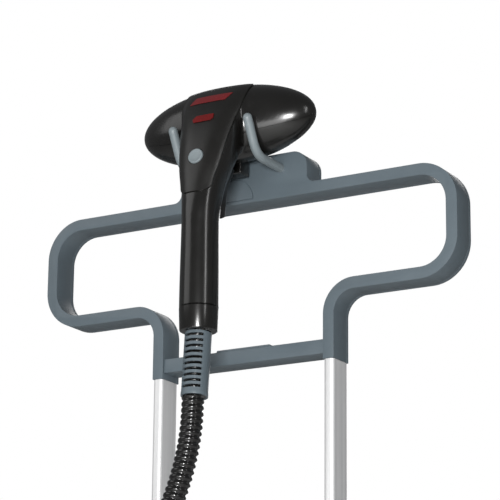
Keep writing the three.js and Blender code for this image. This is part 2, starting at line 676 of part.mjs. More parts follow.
const valveZ = up(22);
addPiece('steam_valve', rod('z', 8, valveZ - 14, valveZ + 14, [0, HANDLE_Y + 3], 16), BRASS, handset);
const tubeX = rod('z', 4, up(HANDLE_END_DROP - 2), valveZ - 14 - GAP, [0, HANDLE_Y + 3], 14);
addPiece('handle_steam_tube', tubeX, SILICONE, handset);
const nozzle = [
  [0, HANDLE_Y + 3, valveZ + 14 + GAP], [0, -84, up(-22)], [0, -62, up(-48)], [0, -44, up(-57)],
];
addPiece('head_steam_tube', tube(nozzle, 4, 10, 10), SILICONE, handset);

// ---------------------------------------------------------------- base
const baseY = (BASE_FRONT + BASE_BACK) / 2;
const baseHalfY = (BASE_BACK - BASE_FRONT) / 2;
const deckY = (TANK_FRONT + BASE_BACK) / 2;
const wheelX = BASE_HALF_X - WHEEL_WIDTH / 2 - 4;
const wheelZ = WHEEL_RADIUS;
const axle = (radius, reach) => rod('x', radius, -reach, reach, [WHEEL_Y, wheelZ], 16);
const wells = [-1, 1].map((side) => {
  const outer = side * (BASE_HALF_X + 20);
  const inner = side * (wheelX - WHEEL_WIDTH / 2 - WHEEL_ROOM + 1);
  return box(Math.min(outer, inner), Math.max(outer, inner), WHEEL_Y - WHEEL_RADIUS - WHEEL_ROOM,
    WHEEL_Y + WHEEL_RADIUS + 60, 0, wheelZ + WHEEL_RADIUS + WHEEL_ROOM);
});

// Tray: an open pan with the wheel wells cut out of its back corners.
const trayOuter = slab(0, baseY, BASE_HALF_X, baseHalfY, BASE_CORNER, TRAY_BOTTOM, TRAY_TOP, 0, 6);
const trayInner = slab(0, baseY, BASE_HALF_X - BASE_WALL, baseHalfY - BASE_WALL, BASE_CORNER - BASE_WALL,
  TRAY_BOTTOM + BASE_WALL, TRAY_TOP + 1, 0, 6);
const footSpots = [[-FOOT_X, BASE_FRONT + FOOT_INSET], [FOOT_X, BASE_FRONT + FOOT_INSET]];
const footHoles = footSpots.map((at) => rod('z', FOOT_STEM + GAP, TRAY_BOTTOM - 1, TRAY_BOTTOM + 5, at, 12));
addPiece('base_tray', cut(cut(trayOuter, trayInner), ...wells, axle(AXLE_RADIUS + GAP, 300), ...footHoles),
  BASE_GREY);
footSpots.forEach((at, index) => {
  const pad = rod('z', FOOT_RADIUS - 2, 0, TRAY_BOTTOM - GAP, at, 20, FOOT_RADIUS);
  const stem = rod('z', FOOT_STEM, TRAY_BOTTOM - 1, TRAY_BOTTOM + BASE_WALL + 2, at, 12);
  addPiece(`rubber_foot_${index + 1}`, join(pad, stem), RUBBER);
});

// Housing: the tall front over the boiler and the low deck that carries the tank.
const housingCore = (inset, low, top, deck) => {
  const whole = slab(0, baseY, BASE_HALF_X - inset, baseHalfY - inset, BASE_CORNER - inset, low, top, 0, 6);
  const rear = box(-300, 300, TANK_FRONT - inset, 300, deck, 600);
  return cut(whole, rear);
};
const housingShell = cut(
  housingCore(0, TRAY_TOP + GAP, HOUSING_TOP, DECK_TOP),
  housingCore(BASE_WALL, TRAY_TOP - 1, HOUSING_TOP - BASE_WALL, DECK_TOP - BASE_WALL),
);
const VALVE_AT = [0, deckY];
const topHole = (radius, at, top, around = 20) => rod('z', radius, top - 10, top + 10, at, around);
const backHole = (radius, x) => rod('y', radius + GAP, BASE_BACK - 10, BASE_BACK + 10, [x, BACK_FITTING_Z], 18);
const housingHoles = [
  topHole(PORT_RADIUS + GAP, [PORT_X, PORT_Y], HOUSING_TOP, 24),
  topHole(DIAL_SHAFT + 2, DIAL_AT, HOUSING_TOP, 16),
  topHole(LAMP_RADIUS + GAP, LAMP_AT, HOUSING_TOP, 14),
  topHole(VALVE_RADIUS + GAP, VALVE_AT, DECK_TOP),
  backHole(INLET_RADIUS, -BACK_FITTING_X),
  backHole(DRAIN_RADIUS, BACK_FITTING_X),
  box(SWITCH_AT[0] - SWITCH_HALF[0] - RUN, SWITCH_AT[0] + SWITCH_HALF[0] + RUN,
    SWITCH_AT[1] - SWITCH_HALF[1] - RUN, SWITCH_AT[1] + SWITCH_HALF[1] + RUN,
    HOUSING_TOP - 10, HOUSING_TOP + 10),
];
for (const [, side] of sides) {
  housingHoles.push(slab(side * LEG_X, 0, lowerHalfX + RUN, lowerHalfY + RUN, lowerCorner + RUN,
    HOUSING_TOP - 10, HOUSING_TOP + 10));
}
addPiece('base_housing', cut(housingShell, ...wells, ...housingHoles), BASE_GREY);

for (const [name, side] of sides) {
  const x = side * LEG_X;
  const body = slab(x, 0, lowerHalfX + SOCKET_WALL, lowerHalfY + SOCKET_WALL, lowerCorner + SOCKET_WALL,
    HOUSING_TOP + GAP, HOUSING_TOP + SOCKET_RISE, 1.5);
  const seat = slab(x, 0, lowerHalfX + GAP, lowerHalfY + GAP, lowerCorner + GAP, 0, 400);
  addPiece(`pole_socket_${name}`, cut(body, seat), BASE_GREY);
}

// Wheels on one axle.
addPiece('wheel_axle', axle(AXLE_RADIUS, wheelX + WHEEL_WIDTH / 2 + 2), STEEL);
for (const [name, side] of sides) {
  const x = side * wheelX;
  const half = WHEEL_WIDTH / 2;
  const place = [WHEEL_Y, wheelZ];
  const face = x + side * half;
  const tyre = rod('x', WHEEL_RADIUS, x - half, x + half, place, 40);
  const dish = rod('x', WHEEL_RADIUS - TYRE_DEPTH, face - DISH_DEPTH, face + DISH_DEPTH, place, 32);
  const hub = rod('x', HUB_RADIUS, x - half, x + half, place, 20);
  const hubBore = rod('x', AXLE_RADIUS + GAP, x - half - 1, x + half + 1, place, 16);
  addPiece(`wheel_${name}`, cut(join(cut(tyre, dish), hub), hubBore), RUBBER);
}

// Water tank with its cap on top and its outlet over the deck's valve seat.
const tankLow = TANK_FRONT + 1;
const tankHigh = BASE_BACK - 2;
const tankY = (tankLow + tankHigh) / 2;
const tankHalfY = (tankHigh - tankLow) / 2;
const tankFoot = DECK_TOP + GAP;
const tankTop = tankFoot + TANK_HEIGHT;
const tankOuter = slab(0, tankY, TANK_HALF_X, tankHalfY, TANK_CORNER, tankFoot, tankTop, 3, 5);
const tankInner = slab(0, tankY, TANK_HALF_X - TANK_WALL, tankHalfY - TANK_WALL, TANK_CORNER - TANK_WALL,
  tankFoot + TANK_WALL, tankTop - TANK_WALL, 3, 5);
const filler = topHole(CAP_STEM, [0, tankY], tankTop, 24);
const outlet = rod('z', OUTLET_RADIUS, tankFoot - 1, tankFoot + 10, VALVE_AT, 14);
addPiece('water_tank', cut(tankOuter, tankInner, filler, outlet), TANK_SMOKE);
const capZ = tankTop + GAP;
const capTop = rod('z', CAP_RADIUS, capZ, capZ + CAP_RISE, [0, tankY], 28);
const capStem = rod('z', CAP_STEM - RUN, capZ - 9, capZ + 1, [0, tankY], 24);
const capGrip = box(-3, 3, tankY - CAP_RADIUS + 4, tankY + CAP_RADIUS - 4,
  capZ + CAP_RISE - 1, capZ + CAP_RISE + 5);
addPiece('tank_cap', join(capTop, capStem, capGrip), BASE_GREY);
const handleBar = slab(0, tankY, HANDLE_POST_X + 10, 9, 8, tankTop + GRIP_RISE - 10, tankTop + GRIP_RISE, 2, 4);
const posts = [-1, 1].map((side) => {
  const mid = side * HANDLE_POST_X;
  return box(mid - 7, mid + 7, tankY - 7, tankY + 7, tankTop + GAP, tankTop + GRIP_RISE - 4);
});
addPiece('tank_handle', join(handleBar, ...posts), BASE_GREY);
const valveBody = rod('z', VALVE_RADIUS, DECK_TOP - VALVE_DEPTH, DECK_TOP, VALVE_AT, 20);
const valveBore = rod('z', 4, DECK_TOP - VALVE_DEPTH - 1, DECK_TOP + 1, VALVE_AT, 12);
addPiece('tank_valve_seat', cut(valveBody, valveBore), SILICONE);

// Controls and the hose port on top of the tall front, and the two fittings on the back.
const PORT_AT = [PORT_X, PORT_Y];
const portBase = rod('z', PORT_RADIUS, HOUSING_TOP - PORT_DEPTH, HOUSING_TOP + PORT_RISE, PORT_AT, 24);
const portBore = rod('z', 6, HOUSING_TOP - PORT_DEPTH - 1, HOUSING_TOP + PORT_RISE + 1, PORT_AT, 14);
addPiece('hose_port', cut(portBase, portBore), BRASS);
const nutFoot = HOUSING_TOP + PORT_RISE + GAP;
const nutTop = nutFoot + NUT_HEIGHT;
const nut = rod('z', 17, nutFoot, nutTop, PORT_AT, 12, 13);
addPiece('hose_nut', cut(nut, rod('z', 8, nutFoot - 1, nutTop + 1, PORT_AT, 16)), BASE_GREY);
const dialTop = rod('z', DIAL_RADIUS, HOUSING_TOP + RUN, HOUSING_TOP + DIAL_RISE, DIAL_AT, 32, DIAL_RADIUS - 3);
const dialRib = box(DIAL_AT[0] - 2.5, DIAL_AT[0] + 2.5, DIAL_AT[1] - DIAL_RADIUS + 2, DIAL_AT[1] + 4,
  HOUSING_TOP + DIAL_RISE - 1, HOUSING_TOP + DIAL_RISE + 3);
const dialShaft = rod('z', DIAL_SHAFT, HOUSING_TOP - 16, HOUSING_TOP + 2, DIAL_AT, 14);
addPiece('steam_dial', join(dialTop, dialRib, dialShaft), SATIN_BLACK);
const rocker = [[-14, -6], [14, -6], [14, 1], [0, 2], [-10.5, 5], [-13, -1]];
addPiece('power_switch', prism(rocker.map(([y, z]) => [SWITCH_AT[1] + y, HOUSING_TOP + z]),
  SWITCH_AT[0] - SWITCH_HALF[0], SWITCH_AT[0] + SWITCH_HALF[0]), RED_PLASTIC);
addPiece('ready_lamp', rod('z', LAMP_RADIUS, HOUSING_TOP - 6, HOUSING_TOP + 2, LAMP_AT, 14, 3), RED_LENS);
const backFitting = (x, radius, depth, clear, rim, rise) => {
  const stem = rod('y', radius, BASE_BACK - depth, BASE_BACK + clear, [x, BACK_FITTING_Z], 18);
  const head = rod('y', rim, BASE_BACK + clear, BASE_BACK + rise, [x, BACK_FITTING_Z], 18, rim - 2);
  return join(stem, head);
};
addPiece('cord_inlet', backFitting(-BACK_FITTING_X, INLET_RADIUS, 8, GAP, 12, 6), RUBBER);
addPiece('drain_plug', backFitting(BACK_FITTING_X, DRAIN_RADIUS, 12, RUN, 13, 8), SATIN_BLACK);

// Inside the tall front: boiler, heater, thermostat and the tubes between them.
const boilerFoot = TRAY_BOTTOM + BASE_WALL + GAP;
const boilerShell = rod('z', BOILER_RADIUS, boilerFoot, BOILER_TOP, BOILER_AT, 28);
const boilerInside = rod('z', BOILER_RADIUS - 4, boilerFoot + 14, BOILER_TOP - 4, BOILER_AT, 24);
const boilerOutlet = topHole(4, PORT_AT, BOILER_TOP, 12);
addPiece('boiler', cut(boilerShell, boilerInside, boilerOutlet), CAST);
const heaterRing = new THREE.TorusGeometry(22, 3.5, 8, 24);
addPiece('boiler_heater', heaterRing.translate(...BOILER_AT, boilerFoot + 20), STEEL);
const thermostatAt = [BOILER_AT[0] - 14, BOILER_AT[1] + 16];
addPiece('thermostat', rod('z', 9, BOILER_TOP + GAP, BOILER_TOP + 10, thermostatAt, 16), STEEL);
const steamLine = rod('z', 5, BOILER_TOP + GAP, HOUSING_TOP - PORT_DEPTH - GAP, PORT_AT, 12);
addPiece('steam_outlet_tube', cut(steamLine, rod('z', 3, 0, 400, PORT_AT, 10)), SILICONE);
const feedLow = DECK_TOP - VALVE_DEPTH - 22;
const feedRoute = [
  [0, deckY, DECK_TOP - VALVE_DEPTH - 1], [0, deckY - 1, DECK_TOP - VALVE_DEPTH - 6],
  [0, deckY - 8, feedLow + 5], [4, deckY - 40, feedLow + 2], [12, -10, feedLow],
  [BOILER_AT[0] - BOILER_RADIUS - GAP - 4, -60, feedLow],
];
addPiece('feed_tube', tube(feedRoute, 4, 8, 12), SILICONE);

// ---------------------------------------------------------------- hose
// It hangs free from the relief, bows out to one side and comes down into the port's nut.
const HOSE_ROUTE = [
  [0, -96.4, 1307], [0, -98.8, 1280], [-3, -102, 1252], [-10, -106, 1222], [-25, -112, 1180],
  [-49, -119, 1132], [-80, -127, 1080], [-114, -135, 1024], [-147, -142, 962], [-176, -148, 895],
  [-199, -152, 823], [-213, -155, 748], [-217, -155, 672], [-210, -153, 597], [-191, -149, 526],
  [-160, -142, 460], [-118, -133, 402], [-68, -123, 356], [-16, -112, 326], [28, -103, 306],
  [59, -98, 284], [70.5, -96.3, 260], [72, -96, 246], [72, -96, 235],
];
addPiece('hose', tube(HOSE_ROUTE, HOSE_RADIUS, 10, 46), HOSE_BLACK);

export default steamer;
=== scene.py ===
"""Looks of an upright garment steamer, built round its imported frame. Metres, +Z up, front towards -Y."""
import json
import math

import bmesh
import bpy
from bpy.props import FloatProperty, FloatVectorProperty, IntProperty, PointerProperty
from mathutils import Matrix, Vector


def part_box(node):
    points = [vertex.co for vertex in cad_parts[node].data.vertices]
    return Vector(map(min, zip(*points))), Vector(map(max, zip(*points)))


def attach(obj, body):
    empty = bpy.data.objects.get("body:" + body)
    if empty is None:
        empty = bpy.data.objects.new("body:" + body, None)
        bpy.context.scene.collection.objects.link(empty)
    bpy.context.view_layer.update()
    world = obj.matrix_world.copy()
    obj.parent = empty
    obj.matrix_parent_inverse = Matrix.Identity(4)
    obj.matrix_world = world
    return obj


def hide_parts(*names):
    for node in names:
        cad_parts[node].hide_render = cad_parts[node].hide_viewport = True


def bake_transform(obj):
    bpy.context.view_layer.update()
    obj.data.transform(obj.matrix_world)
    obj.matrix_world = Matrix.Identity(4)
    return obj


bl_info = {
    "name": "Garment steamer",
    "version": (1, 0, 0),
    "blender": (4, 5, 0),
    "location": "View3D > Sidebar > Steamer",
    "description": "Builds the hanger, handset, hose, poles and base of a garment steamer",
    "category": "Add Mesh",
}

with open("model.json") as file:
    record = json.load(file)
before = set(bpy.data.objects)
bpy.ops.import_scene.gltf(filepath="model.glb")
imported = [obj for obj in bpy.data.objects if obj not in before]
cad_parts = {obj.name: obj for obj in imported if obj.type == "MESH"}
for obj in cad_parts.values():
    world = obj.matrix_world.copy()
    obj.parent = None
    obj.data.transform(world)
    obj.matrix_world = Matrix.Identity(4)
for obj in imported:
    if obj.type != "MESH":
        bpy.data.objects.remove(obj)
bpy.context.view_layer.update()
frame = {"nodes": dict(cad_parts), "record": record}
RECORD = frame["record"]
BODY_OF = {node: body for body, nodes in RECORD["behaviour"]["bodies"].items() for node in nodes}
SLOT_OF = {part["node"]: part["material_slot"] for part in RECORD["subparts"]}

MM = 0.001


def box_of(node):
    """The low and high corners of a CAD node's box."""
    return tuple(Vector(corner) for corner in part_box(node))


LOOP_LOW, LOOP_HIGH = box_of("hanger_frame")
PLATE_RISE = 0.032
TOP = LOOP_HIGH.z - PLATE_RISE          # top edge of the hanger's top bar
LOOP_FRONT = LOOP_LOW.y
LOOP_SPLIT = LOOP_HIGH.y
COVER_LOW, COVER_HIGH = box_of("hanger_rear_cover")
LEG_X = sum(corner[0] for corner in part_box("upper_pole_right")) / 2
LEG_END = LOOP_LOW.z


# ------------------------------------------------------------------ user sizes and colours
class STEAMER_PG_hanger(bpy.types.PropertyGroup):
    """Sizes of the hanger loop, its hook plate and its prongs."""
    bar_width: FloatProperty(name="Bar width", description="Width of the loop's bar seen from the front",
                             default=10.9 * MM, unit="LENGTH")
    edge: FloatProperty(name="Edge rounding", description="Radius of the bar's long edges",
                        default=1.9 * MM, unit="LENGTH")
    lobe_radius: FloatProperty(name="Lobe radius",
                               description="Corner radius of the lobes on the bar's middle",
                               default=32 * MM, unit="LENGTH")
    leg_radius: FloatProperty(name="Leg radius", description="Corner radius where the lobes meet the legs",
                              default=25.5 * MM, unit="LENGTH")
    arc_steps: IntProperty(name="Arc steps", description="Steps round each corner", default=20, min=4)
    plate_half: FloatProperty(name="Plate half width", description="Half the width of the hook plate",
                              default=68 * MM, unit="LENGTH")
    plate_corner: FloatProperty(name="Plate corner", description="Radius of the hook plate's top corners",
                                default=15 * MM, unit="LENGTH")
    plate_flare: FloatProperty(name="Plate flare", description="Radius where the plate runs into the bar",
                               default=8 * MM, unit="LENGTH")


class STEAMER_PG_handset(bpy.types.PropertyGroup):
    """Sizes of the steam handset."""
    seam: FloatProperty(name="Seam", description="Width of the line between the two shells",
                        default=0.5 * MM, unit="LENGTH")
    voxel: FloatProperty(name="Skin grain", description="Spacing of the skin's points",
                         default=1.5 * MM, unit="LENGTH")
    panel_thick: FloatProperty(name="Panel thickness", description="How far the front panel stands proud",
                               default=1.3 * MM, unit="LENGTH")
    slot_count: IntProperty(name="Relief slots", description="Slots down the strain relief",
                            default=10, min=1)


class STEAMER_PG_hose(bpy.types.PropertyGroup):
    """Sizes of the corrugated hose."""
    radius: FloatProperty(name="Radius", description="Outer radius over the ridges",
                          default=10.3 * MM, unit="LENGTH")
    pitch: FloatProperty(name="Pitch", description="Distance from ridge to ridge",
                         default=5.7 * MM, unit="LENGTH")
    depth: FloatProperty(name="Groove depth", description="Depth of the grooves",
                         default=1.5 * MM, unit="LENGTH")
    around: IntProperty(name="Sides", description="Points round the hose", default=20, min=8)
    per_ridge: IntProperty(name="Rings per ridge", description="Rings that make one ridge", default=7, min=4)


class STEAMER_PG_colours(bpy.types.PropertyGroup):
    """Colours of the finishes."""
    frame_grey: FloatVectorProperty(name="Frame grey", description="Satin grey of the hanger",
                                    subtype="COLOR", default=(0.098, 0.125, 0.143))
    prong_grey: FloatVectorProperty(name="Prong grey", description="Light grey of the prongs and the button",
                                    subtype="COLOR", default=(0.190, 0.222, 0.235))
    black: FloatVectorProperty(name="Black", description="Black of the handset", subtype="COLOR",
                               default=(0.0070, 0.0066, 0.0060))
    base_grey: FloatVectorProperty(name="Base grey", description="Dark grey of the base", subtype="COLOR",
                                   default=(0.060, 0.070, 0.078))
    red: FloatVectorProperty(name="Red", description="Red of levers and bars", subtype="COLOR",
                             default=(0.155, 0.010, 0.012))


# ------------------------------------------------------------------ finishes
def nodes_of(name):
    """A new material with its shader and output, as (material, nodes, links, shader)."""
    material = bpy.data.materials.new(name)
    material.use_nodes = True
    nodes = material.node_tree.nodes
    links = material.node_tree.links
    shader = nodes["Principled BSDF"]
    return material, nodes, links, shader


def noise(nodes, links, scale, detail=3.0, stretch=(1, 1, 1)):
    """A noise texture in the piece's own place, stretched if asked, with its mapping."""
    place = nodes.new("ShaderNodeTexCoord")
    mapping = nodes.new("ShaderNodeMapping")
    mapping.inputs["Scale"].default_value = stretch
    texture = nodes.new("ShaderNodeTexNoise")
    texture.inputs["Scale"].default_value = scale
    texture.inputs["Detail"].default_value = detail
    links.new(place.outputs["Object"], mapping.inputs["Vector"])
    links.new(mapping.outputs["Vector"], texture.inputs["Vector"])
    return texture


def spread(nodes, links, texture, low, high):
    """A map range that turns the texture's grey into numbers from low to high."""
    ranged = nodes.new("ShaderNodeMapRange")
    ranged.inputs["From Min"].default_value = 0.3
    ranged.inputs["From Max"].default_value = 0.7
    ranged.inputs["To Min"].default_value = low
    ranged.inputs["To Max"].default_value = high
    links.new(texture.outputs["Fac"], ranged.inputs["Value"])
    return ranged


def tint(nodes, links, texture, shader, colour, change):
    """Drives the base colour between a darker and a lighter shade of the colour."""
    ramp = nodes.new("ShaderNodeValToRGB")
    ramp.color_ramp.elements[0].position = 0.3
    ramp.color_ramp.elements[1].position = 0.7
    ramp.color_ramp.elements[0].color = (*[c * (1 - change) for c in colour], 1)
    ramp.color_ramp.elements[1].color = (*[min(1, c * (1 + change)) for c in colour], 1)
    links.new(texture.outputs["Fac"], ramp.inputs["Fac"])
    links.new(ramp.outputs["Color"], shader.inputs["Base Color"])


def bump(nodes, links, texture, shader, strength, distance):
    """Adds the texture to the surface as fine relief."""
    relief = nodes.new("ShaderNodeBump")
    relief.inputs["Strength"].default_value = strength
    relief.inputs["Distance"].default_value = distance
    links.new(texture.outputs["Fac"], relief.inputs["Height"])
    links.new(relief.outputs["Normal"], shader.inputs["Normal"])


def moulded(name, colour, rough, grain=900, relief=0.12, change=0.08, coat=0.0):
    """Injection-moulded plastic: fine spark-eroded grain, slow colour drift and uneven polish."""
    material, nodes, links, shader = nodes_of(name)
    tint(nodes, links, noise(nodes, links, 22, 4), shader, colour, change)
    polish = spread(nodes, links, noise(nodes, links, 60, 5), rough * 0.88, rough * 1.12)
    links.new(polish.outputs["Result"], shader.inputs["Roughness"])
    shader.inputs["Coat Weight"].default_value = coat
    shader.inputs["Coat Roughness"].default_value = 0.12
    bump(nodes, links, noise(nodes, links, grain, 2), shader, relief, 0.0002)
    return material


def drawn_metal(name, colour, rough, stretch, relief=0.08, metal=1.0):
    """Drawn or machined metal with fine lines along the stretched direction."""
    material, nodes, links, shader = nodes_of(name)
    lines = noise(nodes, links, 260, 4, stretch)
    tint(nodes, links, lines, shader, colour, 0.07)
    polish = spread(nodes, links, lines, rough * 0.75, rough * 1.3)
    links.new(polish.outputs["Result"], shader.inputs["Roughness"])
    shader.inputs["Metallic"].default_value = metal
    bump(nodes, links, lines, shader, relief, 0.0001)
    return material


def clear_plastic(name, colour, alpha, rough=0.12):
    """Tinted see-through plastic."""
    material, nodes, links, shader = nodes_of(name)
    tint(nodes, links, noise(nodes, links, 18, 3), shader, colour, 0.06)
    shader.inputs["Roughness"].default_value = rough
    shader.inputs["Alpha"].default_value = alpha
    shader.inputs["IOR"].default_value = 1.5
    bump(nodes, links, noise(nodes, links, 40, 2), shader, 0.05, 0.0004)
    return material


def lens_red(name, colour):
    """Deep red lens with a bright gloss."""
    material, nodes, links, shader = nodes_of(name)
    tint(nodes, links, noise(nodes, links, 120, 2), shader, colour, 0.12)
    shader.inputs["Roughness"].default_value = 0.12
    shader.inputs["Coat Weight"].default_value = 0.6
    return material


def make_finishes():
    """Every finish by the record's slot name."""
    colours = bpy.context.scene.steamer_colours
    black = tuple(colours.black)
    return {
        "frame_grey": moulded("satin_frame_grey", tuple(colours.frame_grey), 0.42, 1100, 0.16, 0.05),
        "prong_grey": moulded("satin_light_grey", tuple(colours.prong_grey), 0.40, 900, 0.12, 0.05),
        "gloss_black": moulded("gloss_black", black, 0.24, 500, 0.03, 0.12, 0.25),
        "satin_black": moulded("satin_black", tuple(c * 1.2 for c in black), 0.34, 900, 0.10, 0.12),
        "hose_black": moulded("hose_black", (0.0055, 0.0052, 0.005), 0.17, 300, 0.04, 0.2, 0.4),
        "base_grey": moulded("base_grey", tuple(colours.base_grey), 0.46, 800, 0.22, 0.06),
        "red_plastic": moulded("red_plastic", tuple(colours.red), 0.30, 700, 0.05, 0.06, 0.2),
        "red_lens": lens_red("red_lens", (0.13, 0.003, 0.003)),
        "aluminium": drawn_metal("anodised_aluminium", (0.80, 0.80, 0.80), 0.45, (1, 1, 0.01), 0.02, 0.45),
        "steel": drawn_metal("turned_steel", (0.50, 0.50, 0.49), 0.28, (1, 0.1, 1)),
        "brass": drawn_metal("machined_brass", (0.46, 0.30, 0.11), 0.30, (1, 1, 0.2)),
        "cast_aluminium": moulded("cast_aluminium", (0.30, 0.30, 0.31), 0.55, 400, 0.5, 0.12),
        "rubber": moulded("black_rubber", (0.011, 0.011, 0.011), 0.72, 500, 0.3, 0.15),
        "silicone": moulded("milky_silicone", (0.58, 0.55, 0.50), 0.50, 500, 0.1, 0.05),
        "tank_smoke": clear_plastic("smoked_clear_plastic", (0.20, 0.29, 0.34), 0.45),
    }


FINISH = {}


# ------------------------------------------------------------------ mesh tools
def scene_object(name, mesh):
    """Links a mesh to the scene as an object at the origin."""
    piece = bpy.data.objects.new(name, mesh)
    bpy.context.scene.collection.objects.link(piece)
    return piece


def from_bmesh(name, body):
    """A scene object from a bmesh, which is freed."""
    mesh = bpy.data.meshes.new(name)
    body.to_mesh(mesh)
    body.free()
    return scene_object(name, mesh)


def soften(piece, angle=35):
    """Smooth shading with sharp edges kept where faces turn by more than the angle, in degrees."""
    body = bmesh.new()
    body.from_mesh(piece.data)
    for face in body.faces:
        face.smooth = True
    limit = math.radians(angle)
    for edge in body.edges:
        edge.smooth = len(edge.link_faces) == 2 and edge.calc_face_angle(0) < limit
    body.to_mesh(piece.data)
    body.free()


def applied(piece):
    """Turns the piece's modifiers into plain mesh."""
    bpy.context.view_layer.update()
    graph = bpy.context.evaluated_depsgraph_get()
    mesh = bpy.data.meshes.new_from_object(piece.evaluated_get(graph))
    old = piece.data
    piece.modifiers.clear()
    piece.data = mesh
    bpy.data.meshes.remove(old)
    return piece


def combine(piece, tools, operation):
    """Cuts, joins or crosses the piece with closed tools, which are removed."""
    for tool in tools:
        step = piece.modifiers.new("combine", "BOOLEAN")
        step.operation = operation
        step.solver = "MANIFOLD"
        step.object = tool
        applied(piece)
        bpy.data.objects.remove(tool)
    return piece


def bevelled(piece, width, segments=3, angle=30):
    """Rounds the piece's edges."""
    step = piece.modifiers.new("edges", "BEVEL")
    step.width = width
    step.segments = segments
    step.limit_method = "ANGLE"
    step.angle_limit = math.radians(angle)
    step.use_clamp_overlap = True
    return applied(piece)


def settle(piece, nodes, angle=35, rides=True):
    """Gives the piece its finish and hides the frame nodes it stands for; it rides on their body."""
    slot = SLOT_OF[nodes[0]]
    piece.data.materials.clear()
    piece.data.materials.append(FINISH[slot])
    soften(piece, angle)
    if rides:
        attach(piece, BODY_OF[nodes[0]])
    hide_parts(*nodes)
    return piece


def prism(name, outline, low, high, axis):
    """A closed prism of an outline in the two other axes, from low to high along 'x', 'y' or 'z'."""
    def point(u, v, w):
        return {"x": (w, u, v), "y": (u, w, v), "z": (u, v, w)}[axis]
    body = bmesh.new()
    near = [body.verts.new(point(u, v, low)) for u, v in outline]
    far = [body.verts.new(point(u, v, high)) for u, v in outline]
    count = len(outline)
    body.faces.new(near)
    body.faces.new(far)
    for i in range(count):
        j = (i + 1) % count
        body.faces.new((near[i], near[j], far[j], far[i]))
    bmesh.ops.recalc_face_normals(body, faces=body.faces)
    return from_bmesh(name, body)


def brick(name, low, high):
    """A closed box between two corners."""
    outline = [(low[0], low[1]), (high[0], low[1]), (high[0], high[1]), (low[0], high[1])]
    return prism(name, outline, low[2], high[2], "z")


def in_metres(profile):
    """A profile given in millimetres, in metres."""
    return [(radius * MM, distance * MM) for radius, distance in profile]


def skin(name, rings):
    """A closed skin over rings of points, with its two ends filled."""
    body = bmesh.new()
    rows = [[body.verts.new(point) for point in ring] for ring in rings]
    count = len(rows[0])
    for a, b in zip(rows, rows[1:]):
        for i in range(count):
            j = (i + 1) % count
            body.faces.new((a[i], a[j], b[j], b[i]))
    body.faces.new(rows[0])
    body.faces.new(rows[-1])
    bmesh.ops.recalc_face_normals(body, faces=body.faces)
    return from_bmesh(name, body)


def lathe(name, profile, centre, axis, around=48):
    """A turned piece: profile of (radius, distance along the axis) from one end to the other."""
    along = Vector(axis).normalized()
    side = along.orthogonal().normalized()
    other = along.cross(side)
    rings = []
    for radius, distance in profile:
        middle = Vector(centre) + along * distance
        rings.append([middle + (side * math.cos(t) + other * math.sin(t)) * radius
                      for t in (2 * math.pi * i / around for i in range(around))])
    return skin(name, rings)


def smooth_path(points, spacing):
    """Points a set distance apart along a smooth line through the given points."""
    knots = [Vector(p) for p in points]
    dense = []
    for i in range(len(knots) - 1):
        a = knots[max(i - 1, 0)]
        b, c = knots[i], knots[i + 1]
        d = knots[min(i + 2, len(knots) - 1)]
        steps = 24
        for k in range(steps):
            t = k / steps
            dense.append(0.5 * (2 * b + (c - a) * t + (2 * a - 5 * b + 4 * c - d) * t * t
                                + (3 * b - a - 3 * c + d) * t ** 3))
    dense.append(knots[-1])
    travelled = [0.0]
    for a, b in zip(dense, dense[1:]):
        travelled.append(travelled[-1] + (b - a).length)
    total = travelled[-1]
    count = max(2, round(total / spacing))
    path = []
    k = 0
    for i in range(count + 1):
        want = total * i / count
        while k < len(dense) - 2 and travelled[k + 1] < want:
            k += 1
        span = travelled[k + 1] - travelled[k]
        path.append(dense[k].lerp(dense[k + 1], (want - travelled[k]) / span if span else 0))
    return path, total


def sweep(name, path, around, radius_at):
    """A round skin along a path; radius_at gives the radius from ring number and turn."""
    rings = []
    across = (path[1] - path[0]).orthogonal().normalized()
    for i, point in enumerate(path):
        ahead = path[min(i + 1, len(path) - 1)] - path[max(i - 1, 0)]
        ahead.normalize()
        across = (across - ahead * across.dot(ahead)).normalized()
        other = ahead.cross(across)
        ring = []
        for k in range(around):
            turn = 2 * math.pi * k / around
            ring.append(point + (across * math.cos(turn) + other * math.sin(turn)) * radius_at(i, turn))
        rings.append(ring)
    return skin(name, rings)


